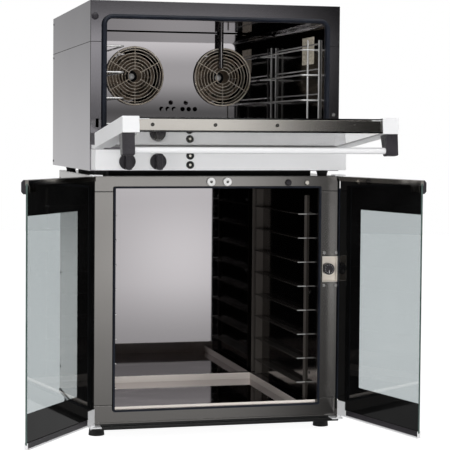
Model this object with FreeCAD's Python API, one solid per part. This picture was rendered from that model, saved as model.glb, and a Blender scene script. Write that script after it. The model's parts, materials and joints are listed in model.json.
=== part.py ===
import FreeCAD, Part
import math
import os

Vec = FreeCAD.Vector
AXIS_X = Vec(1, 0, 0)
AXIS_Y = Vec(0, 1, 0)
AXIS_Z = Vec(0, 0, 1)

# A two-fan convection oven with a drop-down glass door, standing on a proofing
# cabinet with two glass doors. All doors stand open. Sizes are in millimetres.
# X runs to the right, Y to the back from the proofer's front, Z up from the floor.

# Floor point under the middle of the open oven, which becomes the origin
ORIGIN_X = -63.0
ORIGIN_Y = 175.0

# Stock and fits
SHEET = 1.5
RUN_FIT = 0.05
FREE_FIT = 0.5
WIRE_FIT = 0.3
SHAFT_RADIUS = 3.0
SHAFT_HOLE_FIT = 1.0

# Proofer cabinet, whose case follows its chamber
OPENING_WIDTH = 652.0
OPENING_HEIGHT = 679.0
POST_WIDTH = 69.0
PROOFER_WIDTH = OPENING_WIDTH + 2 * POST_WIDTH
LINER_DEPTH = 652.0
REAR_SPACE = 28.0
PROOFER_DEPTH = LINER_DEPTH + REAR_SPACE
PROOFER_FOOT_RADIUS = 25.0
PROOFER_FOOT_TOP_RADIUS = 21.0
PROOFER_FOOT_CLEAR = 30.0
PROOFER_FOOT_SIDE = 28.0
PROOFER_FOOT_END = 80.0
PLINTH_HEIGHT = 10.0
PLINTH_LEDGE = 3.0
RECESS_HEIGHT = 12.0
RECESS_DEPTH = 12.0
SILL_HEIGHT = 39.0
HEAD_HEIGHT = 38.0
SILL_TAB = 14.0
HEAD_TAB = 10.0
POST_RETURN = 10.0
SEAL_WIDTH = 6.0
SEAL_DEPTH = 8.0
SEAL_RADIUS = 6.0

# Proofer fittings
SHELF_LEVELS = 8
SHELF_PITCH = 78.0
SHELF_FIRST = 43.0
SHELF_LEDGE = 2.0
SHELF_REACH = 30.0
SHELF_FRONT = 119.0
SHELF_POST_WIDTH = 8.0
SHELF_POST = 3.0
SHELF_TOP_OVER = 62.0
CHANNEL_WIDTH = 26.0
CHANNEL_DEPTH = 50.0
CHANNEL_LIFT = 1.5
WELL_DEPTH = 35.0
PAN_FIT = 2.0
PAN_RIM = 32.0
PAN_RIM_HEIGHT = 24.0
PAN_REAR_RIM = 10.0
PAN_LIP_OVER = 6.5
PAN_FRONT = 13.0
HAIRPIN_WIRE = 4.0
HAIRPIN_WIDTH = 320.0
HAIRPIN_LENGTH = 400.0
HAIRPIN_FRONT = 120.0
MAGNET_RADIUS = 13.0
MAGNET_DEPTH = 8.0
MAGNET_ROUND = 1.5
MAGNET_X = 26.0
MAGNET_DROP = 18.0
BUTTON_RADIUS = 9.0
BUTTON_INSET = 101.0
BUTTON_DROP = 21.0
BUTTON_PROUD = 6.0
BUTTON_DEPTH = 12.0
BUTTON_TRAVEL = 4.0
BUTTON_ROUND = 1.5
SIGNAL_INSET = 40.0
SIGNAL_BEZEL_RADIUS = 7.0
SIGNAL_BARREL_RADIUS = 6.0
SIGNAL_BEZEL = 4.0
SIGNAL_BARREL = 20.0
SIGNAL_ROUND = 1.5
POCKET_EDGE = 5.0
POCKET_WIDTH = 50.0
POCKET_RISE = 382.0
POCKET_HEIGHT = 81.0
POCKET_DEPTH = 22.0
POCKET_SCREW_SPREAD = 20.0
POCKET_SCREW_OFF = 11.0
DIAL_RADIUS = 18.0
DIAL_PROUD = 4.0
DIAL_INSET = 22.0
DIAL_ROUND = 2.0

# Proofer doors
GLASS = 6.0
GLASS_GAP = 12.0
DOOR_MEETING_GAP = 1.5
DOOR_AXIS_OUT = 1.0
DOOR_HEEL = 3.0
EDGE_LEAF = 2.5
STRIP_HEIGHT = 20.0
STRIP_SOLE = 14.0
STRIP_LIFT = 12.0
BAND_HEIGHT = 14.5
BAND_CAP = 9.5
BAND_CLEAR = 1.5
CATCH_WIDTH = 40.0
CATCH_HEIGHT = 20.0
CATCH_INSET = 5.0
KNEE_WIDTH = 38.0
KNEE_HEIGHT = 26.0
GRIP_HEIGHT = 40.0
GRIP_DEPTH = 20.0
GRIP_INSET = 12.0
GRIP_CHAMFER = 7.0
HINGE_PLATE = 4.0
HINGE_PLATE_WIDTH = 34.0
HINGE_PLATE_REACH = 27.0
HINGE_PLATE_TAIL = 12.0
HINGE_PLATE_SIDE = 8.0
HINGE_PIN_RADIUS = 4.0
HINGE_PIN_ENTRY = 8.0
HINGE_COLLAR_RADIUS = 7.0
LEFT_DOOR_SWING = 128.0
RIGHT_DOOR_SWING = 106.0

# Oven body
OVEN_WIDTH = 800.0
OVEN_DEPTH = 774.0
OVEN_HEIGHT = 520.0
OVEN_SETBACK = 30.0
OVEN_FOOT_HEIGHT = 15.0
OVEN_FOOT_RADIUS = 15.0
OVEN_FOOT_TOP_RADIUS = 19.0
OVEN_FOOT_INSET = 40.0
HOOD_HEIGHT = 126.0
MOUTH_WIDTH = 700.0
MOUTH_HEIGHT = 357.0
MOUTH_DROP = 56.0
MOUTH_RADIUS = 18.0
CAVITY_DEPTH = 520.0
FAN_SPACE = 150.0
GASKET_WIDTH = 15.0
GASKET_DEPTH = 18.0
VENT_SLOTS = 12
VENT_PITCH = 18.0
VENT_SLOT_WIDTH = 6.0
VENT_SLOT_HEIGHT = 60.0
VENT_RISE = 280.0

# Oven inside
BAFFLE_FIT = 2.0
BAFFLE_SLIT = 3.0
BAFFLE_LIP = 15.0
FAN_SPREAD = 156.0
FAN_RISE = 205.0
FAN_HOLE_RADIUS = 95.0
FAN_RADIUS = 80.0
FAN_HUB_RADIUS = 22.0
FAN_BLADES = 12
FAN_BLADE_LENGTH = 26.0
FAN_BLADE_DEPTH = 70.0
FAN_RING_WIDTH = 9.0
FAN_DISC = 2.0
FAN_REAR_GAP = 22.0
FAN_SHAFT_RADIUS = 6.0
FAN_SHAFT_ENTRY = 30.0
MOTOR_RADIUS = 45.0
MOTOR_LENGTH = 84.0
GUARD_RADIUS = 100.0
GUARD_INNER_RADIUS = 24.0
GUARD_RINGS = 8
GUARD_SPOKES = 6
GUARD_LEGS = 4
GUARD_STANDOFF = 12.0
GUARD_WIRE = 1.3
GUARD_SPOKE_WIRE = 1.6
AIR_HOLE_RADIUS = 8.0
AIR_HOLE_PITCH = 22.0
AIR_HOLE_GROUP_X = 37.5
AIR_HOLE_RISE = 93.0
AIR_HOLE_STEP = 22.0
AIR_HOLE_TOP_X = 27.0
HEATER_RADIUS = 102.0
HEATER_WIRE = 4.5
HEATER_LEG_WIRE = 4.0
HEATER_REAR_GAP = 60.0
HEATER_LEG_ANGLE = 8.0
STEAM_PIPE_RADIUS = 9.0
STEAM_PIPE_WALL = 2.0
STEAM_PIPE_X = 145.0
STEAM_PIPE_LENGTH = 122.0
STEAM_PIPE_GAP = 2.0
RACK_LEVELS = 4
RACK_PITCH = 80.0
RACK_FIRST = 37.0
RACK_STEP = 20.0
RACK_REACH = 58.0
RACK_FRONT = 42.0
RACK_LENGTH = 460.0
RACK_WIRE = 2.8
RACK_POST_WIRE = 3.0
RACK_SPAN_WIRE = 2.5
RACK_BEND = 10.0
RACK_OVERHANG = 12.0
RACK_REAR_POST = 17.0
LAMP_FRONT = 102.0
LAMP_LENGTH = 118.0
LAMP_RISE = 236.0
LAMP_HEIGHT = 88.0
LAMP_GLASS = 4.0
LAMP_BOX_DEPTH = 32.0
LAMP_BOX_WALL = 4.0

# Control panel
PANEL_WIDTH = 794.0
PANEL_DEPTH = 79.0
PANEL_HEIGHT = 62.0
PANEL_LIFT = 4.0
KNOB_X = (-300.0, -205.0)
KNOB_RISE = 26.0
KNOB_RADIUS = 25.0
KNOB_DISC = 8.0
KNOB_BAR = 18.0
KNOB_DEPTH = 30.0
KNOB_ROUND = 2.0
UNIT_SIZE = 28.0
UNIT_DEPTH = 34.0
SHAFT_ENTRY = 24.0
PILOT_X = -105.0
PILOT_RISES = (16.0, 44.0)
PILOT_BEZEL_RADIUS = 12.0
PILOT_BARREL_RADIUS = 9.5
PILOT_BEZEL = 4.0
PILOT_BARREL = 24.0

# Oven door, sized as if closed
DOOR_WIDTH = 796.0
DOOR_LENGTH = 432.0
DOOR_THICK = 45.0
DOOR_GAP = 20.0
DOOR_RISE = 85.0
DOOR_OPEN = 83.7
DOOR_SHEET = 2.0
STILE_WIDTH = 47.0
PANE = 5.0
PANE_ENTRY = 20.0
PANE_INSET = 8.0
RAIL_DEPTH = 22.0
PIN_DROP = 11.6
PIN_INSET = 4.0
PIN_RADIUS = 3.5
EYE_RADIUS = 6.0
EYE_WIDTH = 14.0
EYE_SIDE = 16.0
KNUCKLE_WIDTH = 13.0
SLOT_X = 378.0
SLOT_WIDTH = 9.0
SLOT_HEIGHT = 28.0
SLOT_RISE = 132.0
BRACKET_WIDTH = 35.0
BRACKET_HEIGHT = 44.0
BRACKET_STAND = 61.0
BRACKET_NOSE = 26.0
BRACKET_END = 8.0
BRACKET_ROUND = 4.0
BAR_RADIUS = 9.0
BAR_OFF = 46.0
RAIL_SCREW_X = (-313.0, -136.0, 42.0, 272.0)

# Fasteners and glands
SCREW_HEAD_RADIUS = 5.0
SCREW_HEAD = 2.5
SCREW_SHANK_RADIUS = 2.0
SCREW_SHANK = 8.0
SCREW_FIT = 0.1
WALL_SCREW_INSET = 45.0
WALL_SCREW_RISE = 99.0
WALL_SCREW_DROP = 68.0
JAMB_SCREW_X = 382.0
JAMB_SCREW_RISE = 178.0
GLAND_RADIUS = 14.0
GLAND_TAIL_RADIUS = 10.0
GLAND_BORE_RADIUS = 6.0
GLAND_LENGTH = 18.0
GLAND_TAIL = 14.0
GLAND_X = -300.0
GLAND_RISE = 40.0

# Heights that several pieces share
plinth_bottom = PROOFER_FOOT_CLEAR
plinth_top = plinth_bottom + PLINTH_HEIGHT
rail_bottom = plinth_top + RECESS_HEIGHT
opening_bottom = rail_bottom + SILL_HEIGHT
opening_top = opening_bottom + OPENING_HEIGHT
proofer_top_z = opening_top + HEAD_HEIGHT
oven_bottom = proofer_top_z + OVEN_FOOT_HEIGHT
oven_top = oven_bottom + OVEN_HEIGHT
seam_z = oven_top - HOOD_HEIGHT
mouth_top = oven_top - MOUTH_DROP
mouth_bottom = mouth_top - MOUTH_HEIGHT
panel_bottom = oven_bottom + PANEL_LIFT
panel_top = panel_bottom + PANEL_HEIGHT
door_bottom = oven_bottom + DOOR_RISE
fan_z = mouth_bottom + FAN_RISE

# Depths that several pieces share
oven_front = OVEN_SETBACK
oven_rear = oven_front + OVEN_DEPTH
baffle_front = oven_front + CAVITY_DEPTH
cavity_rear = baffle_front + FAN_SPACE
panel_front = oven_front - PANEL_DEPTH
door_inner = oven_front - DOOR_GAP
door_outer = door_inner - DOOR_THICK
glass_inner = -GLASS_GAP
glass_outer = glass_inner - GLASS

# Half widths that several pieces share
proofer_half = PROOFER_WIDTH / 2
opening_half = OPENING_WIDTH / 2
oven_half = OVEN_WIDTH / 2
mouth_half = MOUTH_WIDTH / 2
door_half = DOOR_WIDTH / 2
stile_inner = door_half - STILE_WIDTH

# Places on the proofer's head rail and right post
button_x = opening_half - BUTTON_INSET
signal_x = opening_half - SIGNAL_INSET
pocket_right = proofer_half - POCKET_EDGE
pocket_left = pocket_right - POCKET_WIDTH
dial_x = pocket_left + DIAL_INSET

# Joint axes
oven_pin = Vec(0, door_outer + PIN_INSET, door_bottom - PIN_DROP)
door_axis_x = proofer_half + DOOR_AXIS_OUT
door_axis_y = (glass_inner + glass_outer) / 2


def both(half):
    """Limits that lie evenly about the centre plane."""
    return (-half, half)


def block(x, y, z):
    """Box between a pair of limits along each axis."""
    size = [high - low for low, high in (x, y, z)]
    return Part.makeBox(*size, Vec(x[0], y[0], z[0]))


def drum_x(y, z, radius, x):
    """Cylinder along X."""
    return Part.makeCylinder(radius, x[1] - x[0], Vec(x[0], y, z), AXIS_X)


def drum_y(x, z, radius, y):
    """Cylinder along Y."""
    return Part.makeCylinder(radius, y[1] - y[0], Vec(x, y[0], z), AXIS_Y)


def drum_z(x, y, radius, z):
    """Cylinder along Z."""
    return Part.makeCylinder(radius, z[1] - z[0], Vec(x, y, z[0]), AXIS_Z)


def round_front(shape, radius):
    """The shape with the edges of its foremost face rounded."""
    front = shape.BoundBox.YMin
    rim = [e for e in shape.Edges if e.BoundBox.YMax < front + radius / 100]
    return shape.makeFillet(radius, rim)


def fuse(pieces):
    """One solid from pieces that overlap or share a face."""
    return pieces[0].multiFuse(pieces[1:]).removeSplitter()


def group(pieces):
    """Separate identical solids that share one node."""
    return Part.makeCompound(pieces)


def mirror_x(shape):
    """Mirror image across the centre plane."""
    return shape.mirror(Vec(0, 0, 0), AXIS_X)


def pair(shape):
    """A solid and its mirror image."""
    return group([shape, mirror_x(shape)])


def rounded_slab(half, z, radius, y):
    """Rectangle with round corners, seen from the front, made thick along Y."""
    slab = block(both(half), y, z)
    corners = [e for e in slab.Edges if abs(e.tangentAt(e.FirstParameter).y) > 0.99]
    return slab.makeFillet(radius, corners)


def profile_x(points, x):
    """Outline of (y, z) points made long along X."""
    outline = Part.makePolygon([Vec(x[0], y, z) for y, z in points + points[:1]])
    return Part.Face(outline).extrude(Vec(x[1] - x[0], 0, 0))


def bent_wire(points, bend, radius):
    """Round wire along straight runs with rounded bends between them."""
    edges = []
    start = points[0]
    for before, corner, after in zip(points, points[1:], points[2:]):
        back = (before - corner).normalize()
        onward = (after - corner).normalize()
        half = back.getAngle(onward) / 2
        enter = corner + back * (bend / math.tan(half))
        leave = corner + onward * (bend / math.tan(half))
        bisector = (back + onward).normalize()
        middle = corner + bisector * (bend / math.sin(half) - bend)
        edges.append(Part.LineSegment(start, enter).toShape())
        edges.append(Part.Arc(enter, middle, leave).toShape())
        start = leave
    edges.append(Part.LineSegment(start, points[-1]).toShape())
    section = Part.Circle(points[0], points[1] - points[0], radius).toShape()
    return Part.Wire(edges).makePipeShell([Part.Wire(section)], True, True)


def screw(x, y, z):
    """Pan-head screw whose head stands on the face at y, towards the front."""
    head = drum_y(x, z, SCREW_HEAD_RADIUS, (y - SCREW_HEAD, y))
    return fuse([head, drum_y(x, z, SCREW_SHANK_RADIUS, (y, y + SCREW_SHANK))])


def screw_hole(x, y, z):
    """Clearance hole for the shank of a screw on the face at y."""
    return drum_y(x, z, SCREW_SHANK_RADIUS + SCREW_FIT, (y, y + SCREW_SHANK))


def mouth(y):
    """Rounded oven mouth as a cutter."""
    return rounded_slab(mouth_half, (mouth_bottom, mouth_top), MOUTH_RADIUS, y)


# Oven shell

def oven_hood():
    """Top cover with the front, rear and side skirts above the seam."""
    y = (oven_front, oven_rear)
    shell = block(both(oven_half), y, (seam_z, oven_top))
    hollow = block(
        both(oven_half - SHEET),
        (oven_front + SHEET, oven_rear - SHEET),
        (seam_z, oven_top - SHEET),
    )
    return shell.cut(hollow).cut(mouth((oven_front, oven_front + SHEET)))


def oven_side():
    """Right side panel folded round the front into the door jamb."""
    z = (oven_bottom, seam_z)
    side = block((oven_half - SHEET, oven_half), (oven_front, oven_rear), z)
    jamb = block((mouth_half, oven_half), (oven_front, oven_front + SHEET), z)
    return fuse([side, jamb])


def jamb_slot():
    """Slot in the left jamb for the door link."""
    z = oven_bottom + SLOT_RISE
    x = (-SLOT_X - SLOT_WIDTH / 2, -SLOT_X + SLOT_WIDTH / 2)
    return block(x, (oven_front, oven_front + SHEET), (z, z + SLOT_HEIGHT))


def oven_base():
    """Floor sheet with the apron below the mouth."""
    y = (oven_front + SHEET, oven_rear - SHEET)
    sheet = block(both(oven_half - SHEET), y, (oven_bottom, oven_bottom + SHEET))
    apron = block(
        both(mouth_half),
        (oven_front, oven_front + SHEET),
        (oven_bottom, mouth_bottom + MOUTH_RADIUS),
    )
    return fuse([sheet, apron.cut(mouth((oven_front, oven_front + SHEET)))])


def oven_back():
    """Rear panel with cooling slots for the motors and the gland hole."""
    y = (oven_rear - SHEET, oven_rear)
    panel = block(both(oven_half - SHEET), y, (oven_bottom + SHEET, seam_z))
    vent_z = oven_bottom + VENT_RISE
    for slot in range(VENT_SLOTS):
        x = (slot - (VENT_SLOTS - 1) / 2) * VENT_PITCH
        limits = (x - VENT_SLOT_WIDTH / 2, x + VENT_SLOT_WIDTH / 2)
        panel = panel.cut(block(limits, y, (vent_z, vent_z + VENT_SLOT_HEIGHT)))
    return panel.cut(drum_y(GLAND_X, oven_bottom + GLAND_RISE, GLAND_TAIL_RADIUS, y))


def oven_liner():
    """Cooking chamber, open to the front, with its shaft holes and lamp window."""
    outer = rounded_slab(
        mouth_half + SHEET,
        (mouth_bottom - SHEET, mouth_top + SHEET),
        MOUTH_RADIUS + SHEET,
        (oven_front + SHEET, cavity_rear + SHEET),
    )
    liner = outer.cut(mouth((oven_front, cavity_rear)))
    for side in (-1, 1):
        y = (cavity_rear, cavity_rear + SHEET)
        radius = FAN_SHAFT_RADIUS + SHAFT_HOLE_FIT
        liner = liner.cut(drum_y(side * FAN_SPREAD, fan_z, radius, y))
    return liner.cut(block((mouth_half, mouth_half + SHEET), lamp_y(), lamp_z()))


def oven_gasket():
    """Silicone seal round the mouth."""
    y = (oven_front - GASKET_DEPTH, oven_front)
    ring = rounded_slab(
        mouth_half + GASKET_WIDTH,
        (mouth_bottom - GASKET_WIDTH, mouth_top + GASKET_WIDTH),
        MOUTH_RADIUS + GASKET_WIDTH,
        y,
    )
    return ring.cut(mouth(y))


def oven_foot(x, y):
    """Tapered foot between the proofer's top and the oven."""
    return Part.makeCone(
        OVEN_FOOT_RADIUS, OVEN_FOOT_TOP_RADIUS, OVEN_FOOT_HEIGHT, Vec(x, y, proofer_top_z)
    )


def oven_feet():
    """Four feet, all of them on the proofer's top."""
    x = oven_half - OVEN_FOOT_INSET
    front = oven_front + OVEN_FOOT_INSET
    rear = PROOFER_DEPTH - OVEN_FOOT_INSET
    return group([oven_foot(side * x, y) for side in (-1, 1) for y in (front, rear)])


# Oven inside

def air_hole_places():
    """Centres of the air holes: two triangles of four below the fans."""
    low = mouth_bottom + AIR_HOLE_RISE
    places = []
    for side in (-1, 1):
        for step in (-1, 0, 1):
            places.append((side * AIR_HOLE_GROUP_X + step * AIR_HOLE_PITCH, low))
        places.append((side * AIR_HOLE_TOP_X, low + AIR_HOLE_STEP))
    return places


def air_baffle():
    """Air guide in front of the fans, with a slit below the ceiling."""
    y = (baffle_front, baffle_front + SHEET)
    top = mouth_top - BAFFLE_SLIT
    half = mouth_half - BAFFLE_FIT
    plate = rounded_slab(half, (mouth_bottom, top), MOUTH_RADIUS, y)
    inner_z = (mouth_bottom + MOUTH_RADIUS, top - MOUTH_RADIUS)
    flange = block((half - SHEET, half), (baffle_front, cavity_rear), inner_z)
    lip_y = (baffle_front - BAFFLE_LIP, baffle_front)
    lip = block(both(half - MOUTH_RADIUS), lip_y, (top - SHEET, top))
    sheet = fuse([plate, flange, mirror_x(flange), lip])
    for side in (-1, 1):
        sheet = sheet.cut(drum_y(side * FAN_SPREAD, fan_z, FAN_HOLE_RADIUS, y))
    for x, z in air_hole_places():
        sheet = sheet.cut(drum_y(x, z, AIR_HOLE_RADIUS, y))
    return sheet


def fan_guard():
    """Right wire guard: rings on spokes, open in the middle, with legs back to the baffle."""
    ring_y = baffle_front - GUARD_STANDOFF
    centre = Vec(FAN_SPREAD, ring_y, fan_z)
    hub = Vec(FAN_SPREAD, ring_y + 0.75 * GUARD_SPOKE_WIRE, fan_z)
    span = GUARD_RADIUS - GUARD_INNER_RADIUS
    over = 2 * GUARD_WIRE
    pieces = []
    for ring in range(GUARD_RINGS):
        radius = GUARD_INNER_RADIUS + span * ring / (GUARD_RINGS - 1)
        pieces.append(Part.makeTorus(radius, GUARD_WIRE, centre, AXIS_Y))
    for spoke in range(GUARD_SPOKES):
        angle = 2 * math.pi * (spoke + 0.5) / GUARD_SPOKES
        way = Vec(math.cos(angle), 0, math.sin(angle))
        start = hub + way * (GUARD_INNER_RADIUS - over)
        pieces.append(Part.makeCylinder(GUARD_SPOKE_WIRE, span + 2 * over, start, way))
    for leg in range(GUARD_LEGS):
        angle = 2 * math.pi * (leg + 0.5) / GUARD_LEGS
        x = FAN_SPREAD + GUARD_RADIUS * math.cos(angle)
        z = fan_z + GUARD_RADIUS * math.sin(angle)
        pieces.append(drum_y(x, z, GUARD_SPOKE_WIRE, (ring_y - over, baffle_front)))
    return fuse(pieces)


def fan(side):
    """Radial fan wheel on its shaft: rear disc, blades and a front ring."""
    x = side * FAN_SPREAD
    rear = cavity_rear - FAN_REAR_GAP
    front = rear - FAN_BLADE_DEPTH
    disc = drum_y(x, fan_z, FAN_RADIUS, (rear - FAN_DISC, rear))
    ring = drum_y(x, fan_z, FAN_RADIUS, (front, front + FAN_DISC))
    ring = ring.cut(drum_y(x, fan_z, FAN_RADIUS - FAN_RING_WIDTH, (front, front + FAN_DISC)))
    hub = drum_y(x, fan_z, FAN_HUB_RADIUS, (rear - FAN_BLADE_DEPTH / 2, rear))
    shaft_end = cavity_rear + SHEET + FAN_SHAFT_ENTRY
    pieces = [disc, ring, hub, drum_y(x, fan_z, FAN_SHAFT_RADIUS, (rear, shaft_end))]
    for blade in range(FAN_BLADES):
        plate = block(
            (x + FAN_RADIUS - FAN_BLADE_LENGTH, x + FAN_RADIUS - FAN_DISC),
            (front + FAN_DISC / 2, rear - FAN_DISC / 2),
            (fan_z - FAN_DISC / 2, fan_z + FAN_DISC / 2),
        )
        plate.rotate(Vec(x, 0, fan_z), AXIS_Y, 360.0 * blade / FAN_BLADES)
        pieces.append(plate)
    return fuse(pieces)


def fan_motor():
    """Right motor on the back of the chamber, bored for the fan shaft."""
    y0 = cavity_rear + SHEET
    motor = drum_y(FAN_SPREAD, fan_z, MOTOR_RADIUS, (y0, y0 + MOTOR_LENGTH))
    bore_end = y0 + FAN_SHAFT_ENTRY + FREE_FIT
    return motor.cut(drum_y(FAN_SPREAD, fan_z, FAN_SHAFT_RADIUS + RUN_FIT, (y0, bore_end)))


def ring_heater():
    """Right heating ring round the fan, with two legs to the rear wall."""
    y = cavity_rear - HEATER_REAR_GAP
    pieces = [Part.makeTorus(HEATER_RADIUS, HEATER_WIRE, Vec(FAN_SPREAD, y, fan_z), AXIS_Y)]
    for side in (-1, 1):
        angle = math.radians(90 + side * HEATER_LEG_ANGLE)
        x = FAN_SPREAD + HEATER_RADIUS * math.cos(angle)
        z = fan_z + HEATER_RADIUS * math.sin(angle)
        pieces.append(drum_y(x, z, HEATER_LEG_WIRE, (y, cavity_rear)))
    return fuse(pieces)


def steam_pipe():
    """Water pipe that hangs from the ceiling in front of the right fan."""
    y = baffle_front - GUARD_STANDOFF - GUARD_WIRE - STEAM_PIPE_GAP - STEAM_PIPE_RADIUS
    z = (mouth_top - STEAM_PIPE_LENGTH, mouth_top)
    bore = drum_z(STEAM_PIPE_X, y, STEAM_PIPE_RADIUS - STEAM_PIPE_WALL, z)
    return drum_z(STEAM_PIPE_X, y, STEAM_PIPE_RADIUS, z).cut(bore)


def oven_rack(side):
    """Wire rack of one side: posts, and a rail with a span above it at each level."""
    wall = mouth_half - WIRE_FIT - RACK_POST_WIRE
    front = oven_front + RACK_FRONT
    rear = front + RACK_LENGTH
    levels = [mouth_bottom + RACK_FIRST + RACK_PITCH * level for level in range(RACK_LEVELS)]
    post_z = (levels[0] - RACK_OVERHANG, levels[-1] + RACK_STEP + RACK_OVERHANG)
    posts = [(wall, front), (wall, rear), (wall - RACK_REAR_POST, rear)]
    pieces = [drum_z(x, y, RACK_POST_WIRE, post_z) for x, y in posts]
    inner = wall - RACK_REACH
    for z in levels:
        rail = [Vec(wall, front, z), Vec(inner, front, z), Vec(inner, rear, z), Vec(wall, rear, z)]
        pieces.append(bent_wire(rail, RACK_BEND, RACK_WIRE))
        pieces.append(drum_y(wall, z + RACK_STEP, RACK_SPAN_WIRE, (front, rear)))
    rack = fuse(pieces)
    return rack if side > 0 else mirror_x(rack)


def lamp_y():
    """Front and rear edge of the lamp window."""
    return (oven_front + LAMP_FRONT, oven_front + LAMP_FRONT + LAMP_LENGTH)


def lamp_z():
    """Lower and upper edge of the lamp window."""
    return (mouth_bottom + LAMP_RISE, mouth_bottom + LAMP_RISE + LAMP_HEIGHT)


def lamp_lens():
    """Lamp glass, flush with the right wall."""
    return block((mouth_half, mouth_half + LAMP_GLASS), lamp_y(), lamp_z())


def lamp_housing():
    """Lamp box on the outside of the right wall."""
    wall = LAMP_BOX_WALL
    x0 = mouth_half + SHEET
    y0, y1 = lamp_y()
    z0, z1 = lamp_z()
    box = block((x0, x0 + LAMP_BOX_DEPTH), (y0 - wall, y1 + wall), (z0 - wall, z1 + wall))
    return box.cut(block((x0, x0 + LAMP_BOX_DEPTH - wall), lamp_y(), lamp_z()))


# Controls

def control_panel():
    """Folded panel in front of the oven, with its shaft and lamp holes."""
    half = PANEL_WIDTH / 2
    y = (panel_front, oven_front)
    z = (panel_bottom, panel_top)
    shell = block(both(half), y, z)
    hollow = block(
        both(half - SHEET), (panel_front + SHEET, oven_front), (panel_bottom, panel_top - SHEET)
    )
    panel = shell.cut(hollow)
    skin = (panel_front, panel_front + SHEET)
    for x in KNOB_X:
        hole = SHAFT_RADIUS + SHAFT_HOLE_FIT
        panel = panel.cut(drum_y(x, panel_bottom + KNOB_RISE, hole, skin))
    for rise in PILOT_RISES:
        panel = panel.cut(drum_y(PILOT_X, panel_bottom + rise, PILOT_BARREL_RADIUS, skin))
    return panel


def control_unit(x, y, z):
    """Switch body behind the face at y, bored for a knob shaft or button stem."""
    half = UNIT_SIZE / 2
    body = block((x - half, x + half), (y, y + UNIT_DEPTH), (z - half, z + half))
    return body.cut(drum_y(x, z, SHAFT_RADIUS + RUN_FIT, (y, y + SHAFT_ENTRY + BUTTON_TRAVEL + FREE_FIT)))


def control_units():
    """Timer, oven thermostat, proofer thermostat and proofer switch bodies."""
    knob_z = panel_bottom + KNOB_RISE
    units = [control_unit(x, panel_front + SHEET, knob_z) for x in KNOB_X]
    units.append(control_unit(dial_x, POCKET_DEPTH, pocket_middle()))
    units.append(control_unit(button_x, button_unit_y(), proofer_top_z - BUTTON_DROP))
    return group(units)


def knob(x):
    """Panel knob: disc, finger bar and shaft."""
    z = panel_bottom + KNOB_RISE
    rear = panel_front - FREE_FIT
    disc = round_front(drum_y(x, z, KNOB_RADIUS, (rear - KNOB_DISC, rear)), KNOB_ROUND)
    bar = block(
        (x - KNOB_BAR / 2, x + KNOB_BAR / 2),
        (rear - KNOB_DEPTH, rear),
        (z - KNOB_RADIUS, z + KNOB_RADIUS),
    )
    bar = round_front(bar.common(drum_y(x, z, KNOB_RADIUS, (rear - KNOB_DEPTH, rear))), KNOB_ROUND)
    shaft = drum_y(x, z, SHAFT_RADIUS, (rear, panel_front + SHEET + SHAFT_ENTRY))
    return fuse([disc, bar, shaft])


def pilot_lamp(rise):
    """Round signal lamp in the panel."""
    z = panel_bottom + rise
    bezel = drum_y(PILOT_X, z, PILOT_BEZEL_RADIUS, (panel_front - PILOT_BEZEL, panel_front))
    barrel = drum_y(PILOT_X, z, PILOT_BARREL_RADIUS, (panel_front, panel_front + PILOT_BARREL))
    return fuse([bezel, barrel])


# Oven door, built closed and then swung open about its pin

def open_oven_door(shape):
    """The closed piece turned to the open pose."""
    turned = shape.copy()
    turned.rotate(oven_pin, AXIS_X, DOOR_OPEN)
    return turned


def door_box(x, depth, length):
    """Box in the closed door: depth from the outer face, length from the lower edge."""
    y = (door_outer + depth[0], door_outer + depth[1])
    z = (door_bottom + length[0], door_bottom + length[1])
    return block(x, y, z)


def door_stile():
    """Right stile: channel with closed ends that takes the panes' edges."""
    whole = door_box((stile_inner, door_half), (0, DOOR_THICK), (0, DOOR_LENGTH))
    inside = door_box(
        (stile_inner, door_half - DOOR_SHEET),
        (DOOR_SHEET, DOOR_THICK - DOOR_SHEET),
        (DOOR_SHEET, DOOR_LENGTH - DOOR_SHEET),
    )
    return whole.cut(inside)


def door_pane(depth):
    """Glass pane whose edges lie in the stiles."""
    length = (PANE_INSET, DOOR_LENGTH - PANE_INSET)
    return door_box(both(stile_inner + PANE_ENTRY), depth, length)


def outer_pane_depth():
    """Depth limits of the outer pane."""
    return (DOOR_SHEET, DOOR_SHEET + PANE)


def inner_pane_depth():
    """Depth limits of the inner pane."""
    return (DOOR_THICK - DOOR_SHEET - PANE, DOOR_THICK - DOOR_SHEET)


def door_rail(length):
    """Rail between the panes."""
    depth = (outer_pane_depth()[1], inner_pane_depth()[0])
    return door_box(both(stile_inner), depth, length)


def free_rail():
    """Rail at the free edge, with holes for its screws."""
    top = DOOR_LENGTH - PANE_INSET
    rail = door_rail((top - RAIL_DEPTH, top))
    for x in RAIL_SCREW_X:
        rail = rail.cut(rail_screw(x, SCREW_SHANK_RADIUS + SCREW_FIT))
    return rail


def rail_screw(x, shank):
    """Screw in the middle of the free rail, pointing down the closed door."""
    y = door_outer + DOOR_THICK / 2
    face = door_bottom + DOOR_LENGTH - PANE_INSET
    head = drum_z(x, y, SCREW_HEAD_RADIUS, (face, face + SCREW_HEAD))
    return fuse([head, drum_z(x, y, shank, (face - SCREW_SHANK, face))])


def hinge_strap():
    """Right strap under the door with the eye for the pin."""
    x0 = door_half - EYE_SIDE - EYE_WIDTH
    x = (x0, x0 + EYE_WIDTH)
    eye = drum_x(oven_pin.y, oven_pin.z, EYE_RADIUS, x)
    web = door_box(x, (0, 2 * PIN_INSET), (-PIN_DROP, 0))
    bore = drum_x(oven_pin.y, oven_pin.z, PIN_RADIUS + RUN_FIT, x)
    return fuse([eye, web]).cut(bore)


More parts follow.
